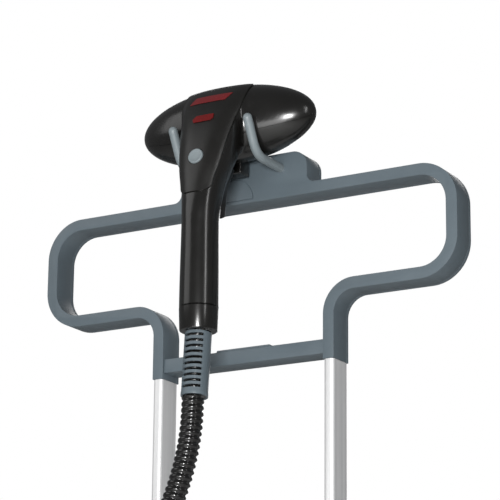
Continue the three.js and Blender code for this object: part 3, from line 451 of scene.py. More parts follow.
# ------------------------------------------------------------------ stage
class STEAMER_OT_stage(bpy.types.Operator):
    """Set up the camera, the pale floor and the soft studio light"""
    bl_idname = "steamer.stage"
    bl_label = "Stage"

    def execute(self, context):
        self.camera(context)
        self.world(context)
        self.lights()
        floor = prism("floor", [(-6, -6), (6, -6), (6, 6), (-6, 6)], -0.02, -0.0005, "z")
        material, nodes, links, shader = nodes_of("pale_floor")
        tint(nodes, links, noise(nodes, links, 3, 3), shader, (0.80, 0.80, 0.79), 0.02)
        shader.inputs["Roughness"].default_value = 0.7
        floor.data.materials.append(material)
        return {"FINISHED"}

    def camera(self, context):
        """A long lens from low in front on the right, tilted up at the hanger."""
        turn, tilt, roll = math.radians(30.43), math.radians(16.14), math.radians(0.59)
        ahead = Vector((-math.sin(turn) * math.cos(tilt), math.cos(turn) * math.cos(tilt), math.sin(tilt)))
        right = Vector((math.cos(turn), math.sin(turn), 0))
        upward = right.cross(ahead)
        side = right * math.cos(roll) + upward * math.sin(roll)
        top = upward * math.cos(roll) - right * math.sin(roll)
        data = bpy.data.cameras.new("camera")
        data.sensor_width = 36
        data.lens = 166.8
        data.clip_end = 50
        camera = bpy.data.objects.new("camera", data)
        camera.matrix_world = Matrix((
            (side.x, top.x, -ahead.x, 1.0538),
            (side.y, top.y, -ahead.y, LOOP_FRONT - 1.7799),
            (side.z, top.z, -ahead.z, TOP - 0.6545),
            (0, 0, 0, 1)))
        context.scene.collection.objects.link(camera)
        context.scene.camera = camera

    def world(self, context):
        """White behind the object, softer grey as light."""
        world = bpy.data.worlds.new("studio")
        world.use_nodes = True
        nodes, links = world.node_tree.nodes, world.node_tree.links
        path = nodes.new("ShaderNodeLightPath")
        glow = nodes["Background"]
        glow.inputs["Color"].default_value = (0.95, 0.97, 1.0, 1)
        glow.inputs["Strength"].default_value = 0.16
        white = nodes.new("ShaderNodeBackground")
        white.inputs["Color"].default_value = (1, 1, 1, 1)
        white.inputs["Strength"].default_value = 1.0
        mix = nodes.new("ShaderNodeMixShader")
        links.new(path.outputs["Is Camera Ray"], mix.inputs["Fac"])
        links.new(glow.outputs["Background"], mix.inputs[1])
        links.new(white.outputs["Background"], mix.inputs[2])
        links.new(mix.outputs["Shader"], nodes["World Output"].inputs["Surface"])
        context.scene.world = world
        context.scene.view_settings.view_transform = "Standard"

    def lights(self):
        """Broad key from the front, a strip from the right and a soft fill from above."""
        lamps = [
            ("key", (0.88, -1.97, TOP - 0.42), (0, 0, TOP - 0.05), 0.4, 0.4, 40),
            ("strip", (1.9, -0.9, TOP + 0.5), (0, 0, TOP), 0.2, 1.0, 5),
            ("fill", (-1.6, -1.6, 2.6), (0, 0, 1.0), 1.6, 1.6, 10),
            ("low", (0.3, -2.4, 0.5), (0, 0, 0.3), 1.4, 0.8, 14),
            ("back", (-0.8, 2.4, 2.2), (0, 0, 0.9), 1.6, 1.6, 20),
        ]
        for name, place, aim, width, height, power in lamps:
            data = bpy.data.lights.new(name, "AREA")
            data.shape = "RECTANGLE"
            data.size = width
            data.size_y = height
            data.energy = power
            lamp = bpy.data.objects.new(name, data)
            lamp.location = place
            lamp.rotation_euler = (Vector(aim) - Vector(place)).to_track_quat("-Z", "Y").to_euler()
            bpy.context.scene.collection.objects.link(lamp)


# ------------------------------------------------------------------ hose
HOSE_ROUTE = [
    (0, -96.4, 1307), (0, -98.8, 1280), (-3, -102, 1252), (-10, -106, 1222), (-25, -112, 1180),
    (-49, -119, 1132), (-80, -127, 1080), (-114, -135, 1024), (-147, -142, 962), (-176, -148, 895),
    (-199, -152, 823), (-213, -155, 748), (-217, -155, 672), (-210, -153, 597), (-191, -149, 526),
    (-160, -142, 460), (-118, -133, 402), (-68, -123, 356), (-16, -112, 326), (28, -103, 306),
    (59, -98, 284), (70.5, -96.3, 260), (72, -96, 246), (72, -96, 235),
]
HOSE_JOIN = 0.3                         # share of the length in the upper stretch


class STEAMER_OT_hose(bpy.types.Operator):
    """Make the corrugated hose from the handset down to the base"""
    bl_idname = "steamer.hose"
    bl_label = "Hose"

    def execute(self, context):
        sizes = context.scene.steamer_hose
        route = [Vector(point) * MM for point in HOSE_ROUTE]
        path, total = smooth_path(route, sizes.pitch / sizes.per_ridge)
        join = round(len(path) * HOSE_JOIN)
        spacing = total / (len(path) - 1)
        stretches = [("hose_upper", 0, join + 1), ("hose_lower", join, len(path))]
        made = []
        for name, first, last in stretches:
            part = path[first:last]

            def radius(i, turn, first=first):
                wave = math.cos(2 * math.pi * (first + i) * spacing / sizes.pitch - turn)
                return sizes.radius - sizes.depth * (0.5 - 0.5 * wave) ** 1.6
            hose = sweep(name, part, sizes.around, radius)
            made.append((settle(hose, ["hose"], angle=80, rides=False), part))
        (upper, upper_path), (lower, lower_path) = made
        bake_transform(upper)
        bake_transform(lower)
        return {"FINISHED"}


# ------------------------------------------------------------------ hanger
def loop_outline(corners, half_width, arc_steps):
    """The two sides of a bar of even width whose corners are rounded: (x, z, radius) for each corner."""
    left, right = [], []

    def add(point, along):
        side = Vector((-along.y, along.x)) * half_width
        left.append(tuple(point + side))
        right.append(tuple(point - side))

    spots = [Vector(corner[:2]) for corner in corners]
    add(spots[0], (spots[1] - spots[0]).normalized())
    for i in range(1, len(corners) - 1):
        radius = corners[i][2]
        into = (spots[i] - spots[i - 1]).normalized()
        out = (spots[i + 1] - spots[i]).normalized()
        turn = math.copysign(1, into.x * out.y - into.y * out.x)
        start = spots[i] - into * radius
        centre = start + Vector((-into.y, into.x)) * turn * radius
        for step in range(arc_steps + 1):
            rotation = Matrix.Rotation(turn * math.pi / 2 * step / arc_steps, 2)
            add(centre + rotation @ (start - centre), rotation @ into)
    add(spots[-1], (spots[-1] - spots[-2]).normalized())
    return left + right[::-1]


def arc(centre, radius, first, last, steps):
    """Points round an arc, angles in degrees."""
    turns = [math.radians(first + (last - first) * i / steps) for i in range(steps + 1)]
    return [(centre[0] + radius * math.cos(t), centre[1] + radius * math.sin(t)) for t in turns]


class STEAMER_OT_hanger(bpy.types.Operator):
    """Make the hanger loop with its hook plate, rear cover, crossbar and prongs"""
    bl_idname = "steamer.hanger"
    bl_label = "Hanger"

    def execute(self, context):
        sizes = context.scene.steamer_hanger
        self.frame(sizes)
        self.crossbar()
        for name in ("left", "right"):
            self.prong(name)
        return {"FINISHED"}

    def loop(self, sizes, name, low, high):
        """The loop and its hook plate in one piece, between two depths."""
        half = sizes.bar_width / 2
        lobe_z = TOP - 0.1073 + half
        lobe_x = LOOP_HIGH.x - half
        side = [(LEG_X, LEG_END, 0), (LEG_X, lobe_z, sizes.leg_radius),
                (lobe_x, lobe_z, sizes.lobe_radius), (lobe_x, TOP - half, sizes.lobe_radius)]
        corners = side + [(-x, z, radius) for x, z, radius in reversed(side)]
        loop = prism(name, loop_outline(corners, half, sizes.arc_steps), low, high, "y")
        flare, corner, wide = sizes.plate_flare, sizes.plate_corner, sizes.plate_half
        crest = TOP + PLATE_RISE
        foot = TOP - sizes.bar_width * 0.75
        outline = [(wide + flare, foot)]
        outline += arc((wide + flare, TOP + flare), flare, 270, 180, 8)
        outline += arc((wide - corner, crest - corner), corner, 0, 90, 12)
        outline += [(-x, z) for x, z in reversed(outline)]
        plate = prism("plate", outline, low, high, "y")
        return combine(loop, [plate], "UNION")

    def frame(self, sizes):
        """The loop's front moulding with its hook plate, and the screwed cover behind it."""
        front = bevelled(self.loop(sizes, "hanger_frame_skin", LOOP_FRONT, LOOP_SPLIT), sizes.edge, 3, 50)
        combine(front, [self.half_moon_groove()], "DIFFERENCE")
        settle(front, ["hanger_frame"])
        cover = bevelled(self.loop(sizes, "hanger_cover_skin", COVER_LOW.y, COVER_HIGH.y), 0.8 * MM, 2, 50)
        holes = []
        for i in (1, 2):
            low, high = box_of(f"cover_screw_{i}")
            middle = (low + high) / 2
            profile = [(3.4 * MM, 0), (3.4 * MM, 6 * MM)]
            holes.append(lathe("well", profile, (middle.x, COVER_HIGH.y - 0.4 * MM, middle.z), (0, 1, 0), 24))
        combine(cover, holes, "DIFFERENCE")
        settle(cover, ["hanger_rear_cover"])

    def half_moon_groove(self):
        """The thin line of a plain half-moon pressed into the plate's front."""
        centre, radius, flat = (-9.5 * MM, TOP - 7 * MM), 21 * MM, TOP - 7.4 * MM
        line = 1.1 * MM
        outer = arc(centre, radius, 0, 180, 36)
        inner = arc(centre, radius - line, 180, 0, 36)
        band = outer + [(outer[-1][0], flat), (inner[0][0], flat)] + inner
        band += [(inner[-1][0], flat), (outer[0][0], flat)]
        moon = prism("half_moon", band, LOOP_FRONT - 1 * MM, LOOP_FRONT + 1.0 * MM, "y")
        reach = radius - line / 2
        foot = brick("foot", (centre[0] - reach, LOOP_FRONT - 1 * MM, flat - 1.2 * MM),
                     (centre[0] + reach, LOOP_FRONT + 1.0 * MM, flat + 0.2 * MM))
        return combine(moon, [foot], "UNION")

    def crossbar(self):
        """Bar between the two legs."""
        low, high = box_of("crossbar")
        pad_rise, pad_half = 2 * MM, 29 * MM
        body = brick("crossbar_skin", low, (high.x, high.y, high.z - pad_rise))
        pad = prism("pad", [(-pad_half, high.z - 4 * MM), (pad_half, high.z - 4 * MM),
                            (pad_half - 1 * MM, high.z), (1 * MM - pad_half, high.z)],
                    low.y + 1 * MM, high.y - 1 * MM, "y")
        combine(body, [pad], "UNION")
        settle(bevelled(body, 1.1 * MM, 3, 40), ["crossbar"])

    def prong(self, name):
        """Round bar that comes out of the hook plate and bends up."""
        low, high = box_of(f"hook_prong_{name}")
        radius = 4.3 * MM
        x = (low.x + high.x) / 2
        base = low.z + radius
        tip = Vector((x, low.y + radius, high.z - radius))
        bend = LOOP_FRONT - 44 * MM
        lean = (tip - Vector((x, bend, base))).normalized()
        soft = 13 * MM
        start, corner = Vector((x, bend + soft, base)), Vector((x, bend, base))
        stop = corner + lean * soft
        path = [Vector((x, high.y - (high.y - start.y) * i / 10, base)) for i in range(10)]
        for i in range(13):
            t = i / 12
            path.append(start * (1 - t) ** 2 + corner * 2 * t * (1 - t) + stop * t * t)
        path += [stop.lerp(tip, i / 10) for i in range(1, 11)]
        dome = [tip + lean * radius * math.sin(math.pi / 2 * i / 7) for i in range(1, 8)]
        straight = len(path)
        path += dome

        def thickness(i, turn):
            if i < straight:
                return radius
            share = (i - straight + 1) / 7
            return radius * max(math.cos(math.pi / 2 * share), 0.06)
        settle(sweep(f"prong_{name}_skin", path, 28, thickness), [f"hook_prong_{name}"], angle=50)


# ------------------------------------------------------------------ poles
class STEAMER_OT_poles(bpy.types.Operator):
    """Make the four aluminium poles with rounded corners"""
    bl_idname = "steamer.poles"
    bl_label = "Poles"

    def execute(self, context):
        for side in ("left", "right"):
            self.pole(f"upper_pole_{side}", 3.5 * MM, 1.2 * MM)
            self.pole(f"lower_pole_{side}", 5.6 * MM, 1.6 * MM)
        return {"FINISHED"}

    def pole(self, node, corner, wall):
        low, high = box_of(node)
        rings = [self.section(low, high, corner, 0, low.z), self.section(low, high, corner, 0, high.z),
                 self.section(low, high, corner, wall, high.z), self.section(low, high, corner, wall, low.z)]
        rings.append(rings[0])
        body = bmesh.new()
        rows = [[body.verts.new(point) for point in ring] for ring in rings[:4]]
        rows.append(rows[0])
        count = len(rows[0])
        for a, b in zip(rows, rows[1:]):
            for i in range(count):
                j = (i + 1) % count
                body.faces.new((a[i], a[j], b[j], b[i]))
        bmesh.ops.recalc_face_normals(body, faces=body.faces)
        settle(from_bmesh(f"{node}_skin", body), [node], angle=30)

    def section(self, low, high, corner, inset, z):
        """A rounded rectangle of the pole's section, moved inward by the inset."""
        points = []
        for sx, sy, start in ((1, -1, -90), (1, 1, 0), (-1, 1, 90), (-1, -1, 180)):
            x = high.x - corner if sx > 0 else low.x + corner
            y = high.y - corner if sy > 0 else low.y + corner
            points += [(px, py, z) for px, py in arc((x, y), corner - inset, start, start + 90, 8)]
        return points


# ------------------------------------------------------------------ repeats
def repeated(unit, count, step=(0, 0, 0), turn=(0, 0, 0)):
    """The unit repeated: each copy is moved and turned one step further. Gives one plain mesh."""
    tree = bpy.data.node_groups.new("repeat", "GeometryNodeTree")
    face = tree.interface
    face.new_socket("Geometry", in_out="INPUT", socket_type="NodeSocketGeometry")
    count_in = face.new_socket("Count", in_out="INPUT", socket_type="NodeSocketInt")
    step_in = face.new_socket("Step", in_out="INPUT", socket_type="NodeSocketVector")
    turn_in = face.new_socket("Turn", in_out="INPUT", socket_type="NodeSocketVector")
    face.new_socket("Geometry", in_out="OUTPUT", socket_type="NodeSocketGeometry")
    nodes, links = tree.nodes, tree.links
    given = nodes.new("NodeGroupInput")
    result = nodes.new("NodeGroupOutput")
    line = nodes.new("GeometryNodeMeshLine")
    index = nodes.new("GeometryNodeInputIndex")
    rotation = nodes.new("ShaderNodeVectorMath")
    rotation.operation = "SCALE"
    copies = nodes.new("GeometryNodeInstanceOnPoints")
    real = nodes.new("GeometryNodeRealizeInstances")
    paint = nodes.new("GeometryNodeSetMaterial")
    links.new(given.outputs["Count"], line.inputs["Count"])
    links.new(given.outputs["Step"], line.inputs["Offset"])
    links.new(given.outputs["Turn"], rotation.inputs[0])
    links.new(index.outputs["Index"], rotation.inputs["Scale"])
    links.new(line.outputs["Mesh"], copies.inputs["Points"])
    links.new(given.outputs["Geometry"], copies.inputs["Instance"])
    links.new(rotation.outputs["Vector"], copies.inputs["Rotation"])
    links.new(copies.outputs["Instances"], real.inputs["Geometry"])
    links.new(real.outputs["Geometry"], paint.inputs["Geometry"])
    links.new(paint.outputs["Geometry"], result.inputs["Geometry"])
    maker = unit.modifiers.new("repeat", "NODES")
    maker.node_group = tree
    maker[count_in.identifier] = count
    maker[step_in.identifier] = step
    maker[turn_in.identifier] = turn
    applied(unit)
    bpy.data.node_groups.remove(tree)
    return unit


def moved(piece, matrix):
    """Moves the piece's own points, so that its object stays at the origin."""
    piece.data.transform(matrix)
    piece.data.update()
    return piece


def refined(node, width=0.6 * MM, segments=2, angle=40):
    """The node's own solid, welded, with rounded edges."""
    body = bmesh.new()
    body.from_mesh(frame["nodes"][node].data)
    bmesh.ops.remove_doubles(body, verts=body.verts, dist=1e-6)
    bmesh.ops.dissolve_limit(body, angle_limit=math.radians(0.5), verts=body.verts, edges=body.edges)
    piece = from_bmesh(f"{node}_skin", body)
    return settle(bevelled(piece, width, segments, angle), [node])


# ------------------------------------------------------------------ handset
# Up the neck: drop below the hanger's top edge, front and back of the skin, half width.
NECK = [
    (129.0, -107.3, -71.3, 18.0), (110, -107.2, -71.4, 17.9), (90, -107.0, -71.6, 17.7),
    (70, -106.7, -71.9, 17.4), (50, -106.5, -72.1, 17.2), (43, -106.4, -71.6, 17.3),
    (30, -105.3, -70.2, 17.8), (19, -103.6, -67.5, 18.8), (9, -102.1, -65.0, 20.8),
    (0, -100.6, -62, 22.8), (-14, -97.5, -56, 25.3), (-27, -94, -50, 27.3),
    (-40, -90, -42, 29.5), (-52, -85.5, -40, 31.5), (-64, -80, -40, 33.5),
    (-76, -72.5, -40, 34.5), (-86, -63, -40, 33),
]
HEAD_CENTRE = Vector((0, -41 * MM, TOP + 57.5 * MM))
HEAD_HALF = Vector((92, 31.5, 37)) * MM
STEAM_FACE = HEAD_CENTRE.y + 24 * MM
PART_LINE = [(-93, 149), (-78, -10), (-65.6, -40), (30, -97.4)]
HANDLE_Y = -89.3 * MM


def drop(value):
    """Height of a drop below the hanger's top edge, given in millimetres."""
    return TOP - value * MM


BUTTON_AT = Vector((0, -98.4 * MM, drop(-10.8)))
BUTTON_SLOPE = math.atan2(0.22, 1)
BUTTON_OUT = Vector((0, -math.cos(BUTTON_SLOPE), math.sin(BUTTON_SLOPE)))


class STEAMER_OT_handset(bpy.types.Operator):
    """Make the steam handset: shells, panel, button, trigger, steam plate and strain relief"""
    bl_idname = "steamer.handset"
    bl_label = "Handset"

    def execute(self, context):
        sizes = context.scene.steamer_handset
        whole = self.whole_skin(sizes)
        self.panel(sizes, whole)
        self.shells(sizes, whole)
        self.button()
        self.steam_plate()
        self.end_collar()
        self.relief(sizes)
        refined("steam_trigger", 1.6 * MM, 3, 25)
        return {"FINISHED"}

    def whole_skin(self, sizes):
        """Head and neck run into each other in one smooth closed skin."""
        head = bmesh.new()
        turn = Matrix.Rotation(math.pi / 2, 4, "Y")
        place = Matrix.Translation(HEAD_CENTRE) @ Matrix.Diagonal((*HEAD_HALF, 1)) @ turn
        bmesh.ops.create_uvsphere(head, u_segments=80, v_segments=48, radius=1, matrix=place)
        body = from_bmesh("handset_skin", head)
        neck = self.neck()
        joined = bmesh.new()
        joined.from_mesh(body.data)
        joined.from_mesh(neck.data)
        joined.to_mesh(body.data)
        joined.free()
        bpy.data.objects.remove(neck)
        grain = body.modifiers.new("skin", "REMESH")
        grain.mode = "VOXEL"
        grain.voxel_size = sizes.voxel
        ease = body.modifiers.new("ease", "SMOOTH")
        ease.factor = 0.5
        ease.iterations = 14
        applied(body)
        below = brick("below", (-0.1, -0.2, drop(160)), (0.1, 0.0, drop(128.7)))
        behind = brick("behind", (-0.2, STEAM_FACE, drop(0)), (0.2, 0.2, drop(-160)))
        return combine(body, [below, behind], "DIFFERENCE")

    def neck(self):
        knots = [Vector((ring[0], ring[1], ring[2])) for ring in NECK]
        widths = [ring[3] for ring in NECK]
        rings = []
        fine = 5
        for level in range((len(NECK) - 1) * fine + 1):
            i = min(level // fine, len(NECK) - 2)
            t = level / fine - i
            a, b = max(i - 1, 0), min(i + 2, len(NECK) - 1)

            def ease(p, q, r, s, t=t):
                return 0.5 * (2 * q + (r - p) * t + (2 * p - 5 * q + 4 * r - s) * t * t
                              + (3 * q - p - 3 * r + s) * t ** 3)
            height, front, back = ease(knots[a], knots[i], knots[i + 1], knots[b])
            half = ease(widths[a], widths[i], widths[i + 1], widths[b])
            power = 2 / (2 + 0.9 * max(0, min(1, (50 - height) / 90)))
            ring = []
            for k in range(56):
                turn = 2 * math.pi * k / 56
                x = math.copysign(abs(math.cos(turn)) ** power, math.cos(turn)) * half
                y = math.copysign(abs(math.sin(turn)) ** power, math.sin(turn)) * (back - front) / 2
                ring.append((x * MM, (y + (front + back) / 2) * MM, drop(height)))
            rings.append(ring)
        lead = [(x, y, drop(134)) for x, y, _ in rings[0]]
        return skin("neck", [lead] + rings)

    def front_half(self, gap):
        """Everything in front of and above the line where the two shells part."""
        line = [(y * MM + gap, drop(height)) for y, height in PART_LINE]
        outline = [(-0.3, line[0][1])] + line + [(0.03, drop(-160)), (-0.3, drop(-160))]
        return prism("front_half", outline, -0.15, 0.15, "x")

    def copy(self, piece, name, grow=0.0):
        """A copy of the skin, grown outwards."""
        body = bmesh.new()
        body.from_mesh(piece.data)
        if grow:
            body.normal_update()
            for vert in body.verts:
                vert.co += vert.normal * grow
        return from_bmesh(name, body)

    def shells(self, sizes, whole):
        """The handset's front and rear shells, cut from one skin along the parting line."""
        half_x = 9.5 * MM
        window = brick("window", (-half_x, -80 * MM, drop(43)), (half_x, -30 * MM, drop(-17)))
        combine(whole, [window], "DIFFERENCE")
        combine(whole, [self.button_bore("seat")], "DIFFERENCE")
        oval = self.oval("oval", 0.4 * MM, -2.2 * MM, 4 * MM)
        combine(whole, [oval], "DIFFERENCE")
        rear = self.copy(whole, "handset_rear_skin")
        combine(rear, [self.front_half(sizes.seam)], "DIFFERENCE")
        lug = brick("lug", (-10 * MM, -36 * MM, drop(-12)), (10 * MM, -20 * MM, drop(-40)))
        combine(rear, [bevelled(lug, 1.5 * MM)], "UNION")
        front = whole
        front.name = "handset_front_skin"
        combine(front, [self.front_half(0)], "INTERSECT")
        settle(front, ["handset_front_shell"], angle=38)
        settle(rear, ["handset_rear_shell"], angle=38)

    def tongue(self):
        """Outline of the front panel in x and z: a tongue that widens up to the head."""
        side = [(34, -90), (33.2, -76), (31.2, -62), (28.8, -50), (26.6, -38), (24.8, -27),
                (22.9, -13), (21.0, -3), (18.6, 7), (16.8, 15)]
        path, _ = smooth_path([(x, 0, -height) for x, height in side], 2.0)
        right = [(p.x * MM, TOP + p.z * MM) for p in path]
        foot_x, foot_z, radius = 7.8 * MM, drop(15), 9 * MM
        foot = arc((foot_x, foot_z), radius, 0, -90, 14) + arc((-foot_x, foot_z), radius, -90, -180, 14)
        return right + foot[1:-1] + [(-x, z) for x, z in reversed(right)]

    def layer(self, name, whole, low, high, outline):
        """The part of a layer over the neck's skin that lies within an outline, seen from the front."""
        outer = self.copy(whole, name, high)
        inner = self.copy(whole, "inner", low)
        combine(outer, [inner], "DIFFERENCE")
        combine(outer, [prism("stamp", outline, -0.16, -0.055, "y")], "INTERSECT")
        return combine(outer, [self.front_half(0)], "INTERSECT")

    def panel(self, sizes, whole):
        """Front panel with its button hole, its lens and its accent bar."""
        thick = sizes.panel_thick
        panel = self.layer("front_panel_skin", whole, 0.25 * MM, thick, self.tongue())
        combine(panel, [self.button_bore("hole")], "DIFFERENCE")
        settle(panel, ["front_panel"])
        lens = [(-9.5, -47.5), (8.5, -47.5), (11, -50), (10.5, -54.5), (-7.5, -54.5), (-11, -51)]
        shape = [(x * MM, drop(height)) for x, height in lens]
        settle(self.layer("lens_skin", whole, thick + 0.1 * MM, thick + 1.0 * MM, shape), ["indicator_lens"])
        bars = [(-21, -69.5), (17, -69.5), (22, -77.5), (-16, -77.5)]
        shape = [(x * MM, drop(height)) for x, height in bars]
        settle(self.layer("accent_skin", whole, thick + 0.1 * MM, thick + 0.5 * MM, shape), ["accent_bar"])

    def button_bore(self, name):
        """Tool for the hole that the button stands in."""
        return lathe(name, in_metres([(7.9, -6), (7.9, 6)]), BUTTON_AT, BUTTON_OUT, 40)

    def button(self):
        """Round button with a raised rim, square to the sloping panel."""
        profile = [(7.4, -3), (7.4, 1.6), (7.25, 2.0), (6.9, 2.25), (6.2, 2.35), (5.9, 2.2), (3, 2.05),
                   (0.2, 2.0)]
        cap = lathe("steam_button_skin", in_metres(profile), BUTTON_AT, BUTTON_OUT, 48)
        settle(cap, ["steam_button"], angle=40)

    def oval(self, name, grow, near, far):
        """Oval prism on the steam face, grown past the plate's outline and between two depths."""
        outline = [((52 * MM + grow) * math.cos(t), HEAD_CENTRE.z + (19 * MM + grow) * math.sin(t))
                   for t in (2 * math.pi * i / 72 for i in range(72))]
        return prism(name, outline, STEAM_FACE + near, STEAM_FACE + far, "y")

    def steam_plate(self):
        """Polished oval with two rows of steam outlets."""
        plate = bevelled(self.oval("steam_plate_skin", 0, -0.5 * MM, 2.5 * MM), 1.0 * MM, 3, 40)
        rows = [(7, 0.0, 13, 2.0), (10, 6.5, 8.5, 1.3), (10, -6.5, 8.5, 1.3)]
        for count, rise, step, radius in rows:
            x = -step * (count - 1) / 2
            start = (x * MM, STEAM_FACE - 4 * MM, HEAD_CENTRE.z + rise * MM)
            hole = lathe("outlet", [(radius * MM, 0), (radius * MM, 12 * MM)], start, (0, 1, 0), 16)
            combine(plate, [repeated(hole, count, (step * MM, 0, 0))], "DIFFERENCE")
        settle(plate, ["steam_plate"])

    def end_collar(self):
        """Ring that closes the handle's end round the strain relief."""
        foot = (0, HANDLE_Y, drop(151))
        profile = [(16.2, 0), (17.0, 0.5), (17.3, 1.5), (18.0, 21.0), (17.7, 21.4)]
        ring = lathe("end_collar_skin", in_metres(profile), foot, (0, 0, 1), 64)
        bore = lathe("bore", in_metres([(11, -1), (11, 22.4)]), foot, (0, 0, 1), 64)
        settle(combine(ring, [bore], "DIFFERENCE"), ["handle_end_collar"], angle=30)

    def relief(self, sizes):
        """Sleeve with round-ended slots on its front and back, over the end of the hose."""
        place = Matrix.Translation((0, HANDLE_Y, drop(151.6))) @ Matrix.Rotation(-math.radians(5), 4, "X")
        outer = [(12.2, -60), (12.35, -59.2), (12.35, -57), (12.1, -55.5), (12.2, -1.2)]
        sleeve = lathe("strain_relief_skin", [(r * MM, z * MM) for r, z in outer], (0, 0, 0), (0, 0, 1), 64)
        bore = lathe("bore", [(10.5 * MM, -62 * MM), (10.5 * MM, 2 * MM)], (0, 0, 0), (0, 0, 1), 48)
        combine(sleeve, [bore], "DIFFERENCE")
        reach, height = 9.4 * MM, 1.35 * MM
        slot_shape = arc((reach, 0), height, -90, 90, 8) + arc((-reach, 0), height, 90, 270, 8)
        for low, high in ((-0.02, -5.5 * MM), (5.5 * MM, 0.02)):
            slot = prism("slot", slot_shape, low, high, "y")
            moved(slot, Matrix.Translation((0, 0, -5 * MM)))
            combine(sleeve, [repeated(slot, sizes.slot_count, (0, 0, -5.3 * MM))], "DIFFERENCE")
        settle(moved(sleeve, place), ["strain_relief"], angle=30)
        hose = bpy.context.scene.steamer_hose
        rings = 120
        path = [Vector((0, 0, (-59.5 + 58 * i / rings) * MM)) for i in range(rings + 1)]

        def radius(i, turn):
            wave = math.cos(2 * math.pi * i * 0.4833 * MM / hose.pitch - turn)
            return 10.2 * MM - hose.depth * (0.5 - 0.5 * wave) ** 1.6
        settle(moved(sweep("hose_cuff_skin", path, 32, radius), place), ["hose_cuff"], angle=80)


# ------------------------------------------------------------------ base
TRAY_LOW, TRAY_HIGH = box_of("base_tray")
HOUSING_LOW, HOUSING_HIGH = box_of("base_housing")
TANK_LOW = Vector(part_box("water_tank")[0])
BASE_CORNER = 48 * MM
BASE_WALL = 3 * MM


def rounded_block(name, low, high, corner, top_round=0.0, foot_round=0.0, inset=0.0):
    """An upright block with round corners, and round edges above and below if asked."""
    levels = [(foot_round * (1 - math.sin(math.radians(a))), foot_round * (1 - math.cos(math.radians(a))))
              for a in range(0, 91, 15)] if foot_round else [(0, 0)]
    crown = [(top_round * (1 - math.cos(math.radians(a))), top_round * (1 - math.sin(math.radians(a))))
             for a in range(0, 91, 15)] if top_round else [(0, 0)]
    rings = []

    def ring(pull, z):
        points = []
        radius = max(corner - inset - pull, 0.5 * MM)
        x_low, x_high = low[0] + inset + pull, high[0] - inset - pull
        y_low, y_high = low[1] + inset + pull, high[1] - inset - pull
        for x, y, start in ((x_high - radius, y_low + radius, -90), (x_high - radius, y_high - radius, 0),
                            (x_low + radius, y_high - radius, 90), (x_low + radius, y_low + radius, 180)):
            points += [(px, py, z) for px, py in arc((x, y), radius, start, start + 90, 12)]
        return points
    for pull, rise in levels:
        rings.append(ring(pull, low[2] + rise))
    for pull, fall in crown:
        rings.append(ring(pull, high[2] - fall))
    return skin(name, rings)


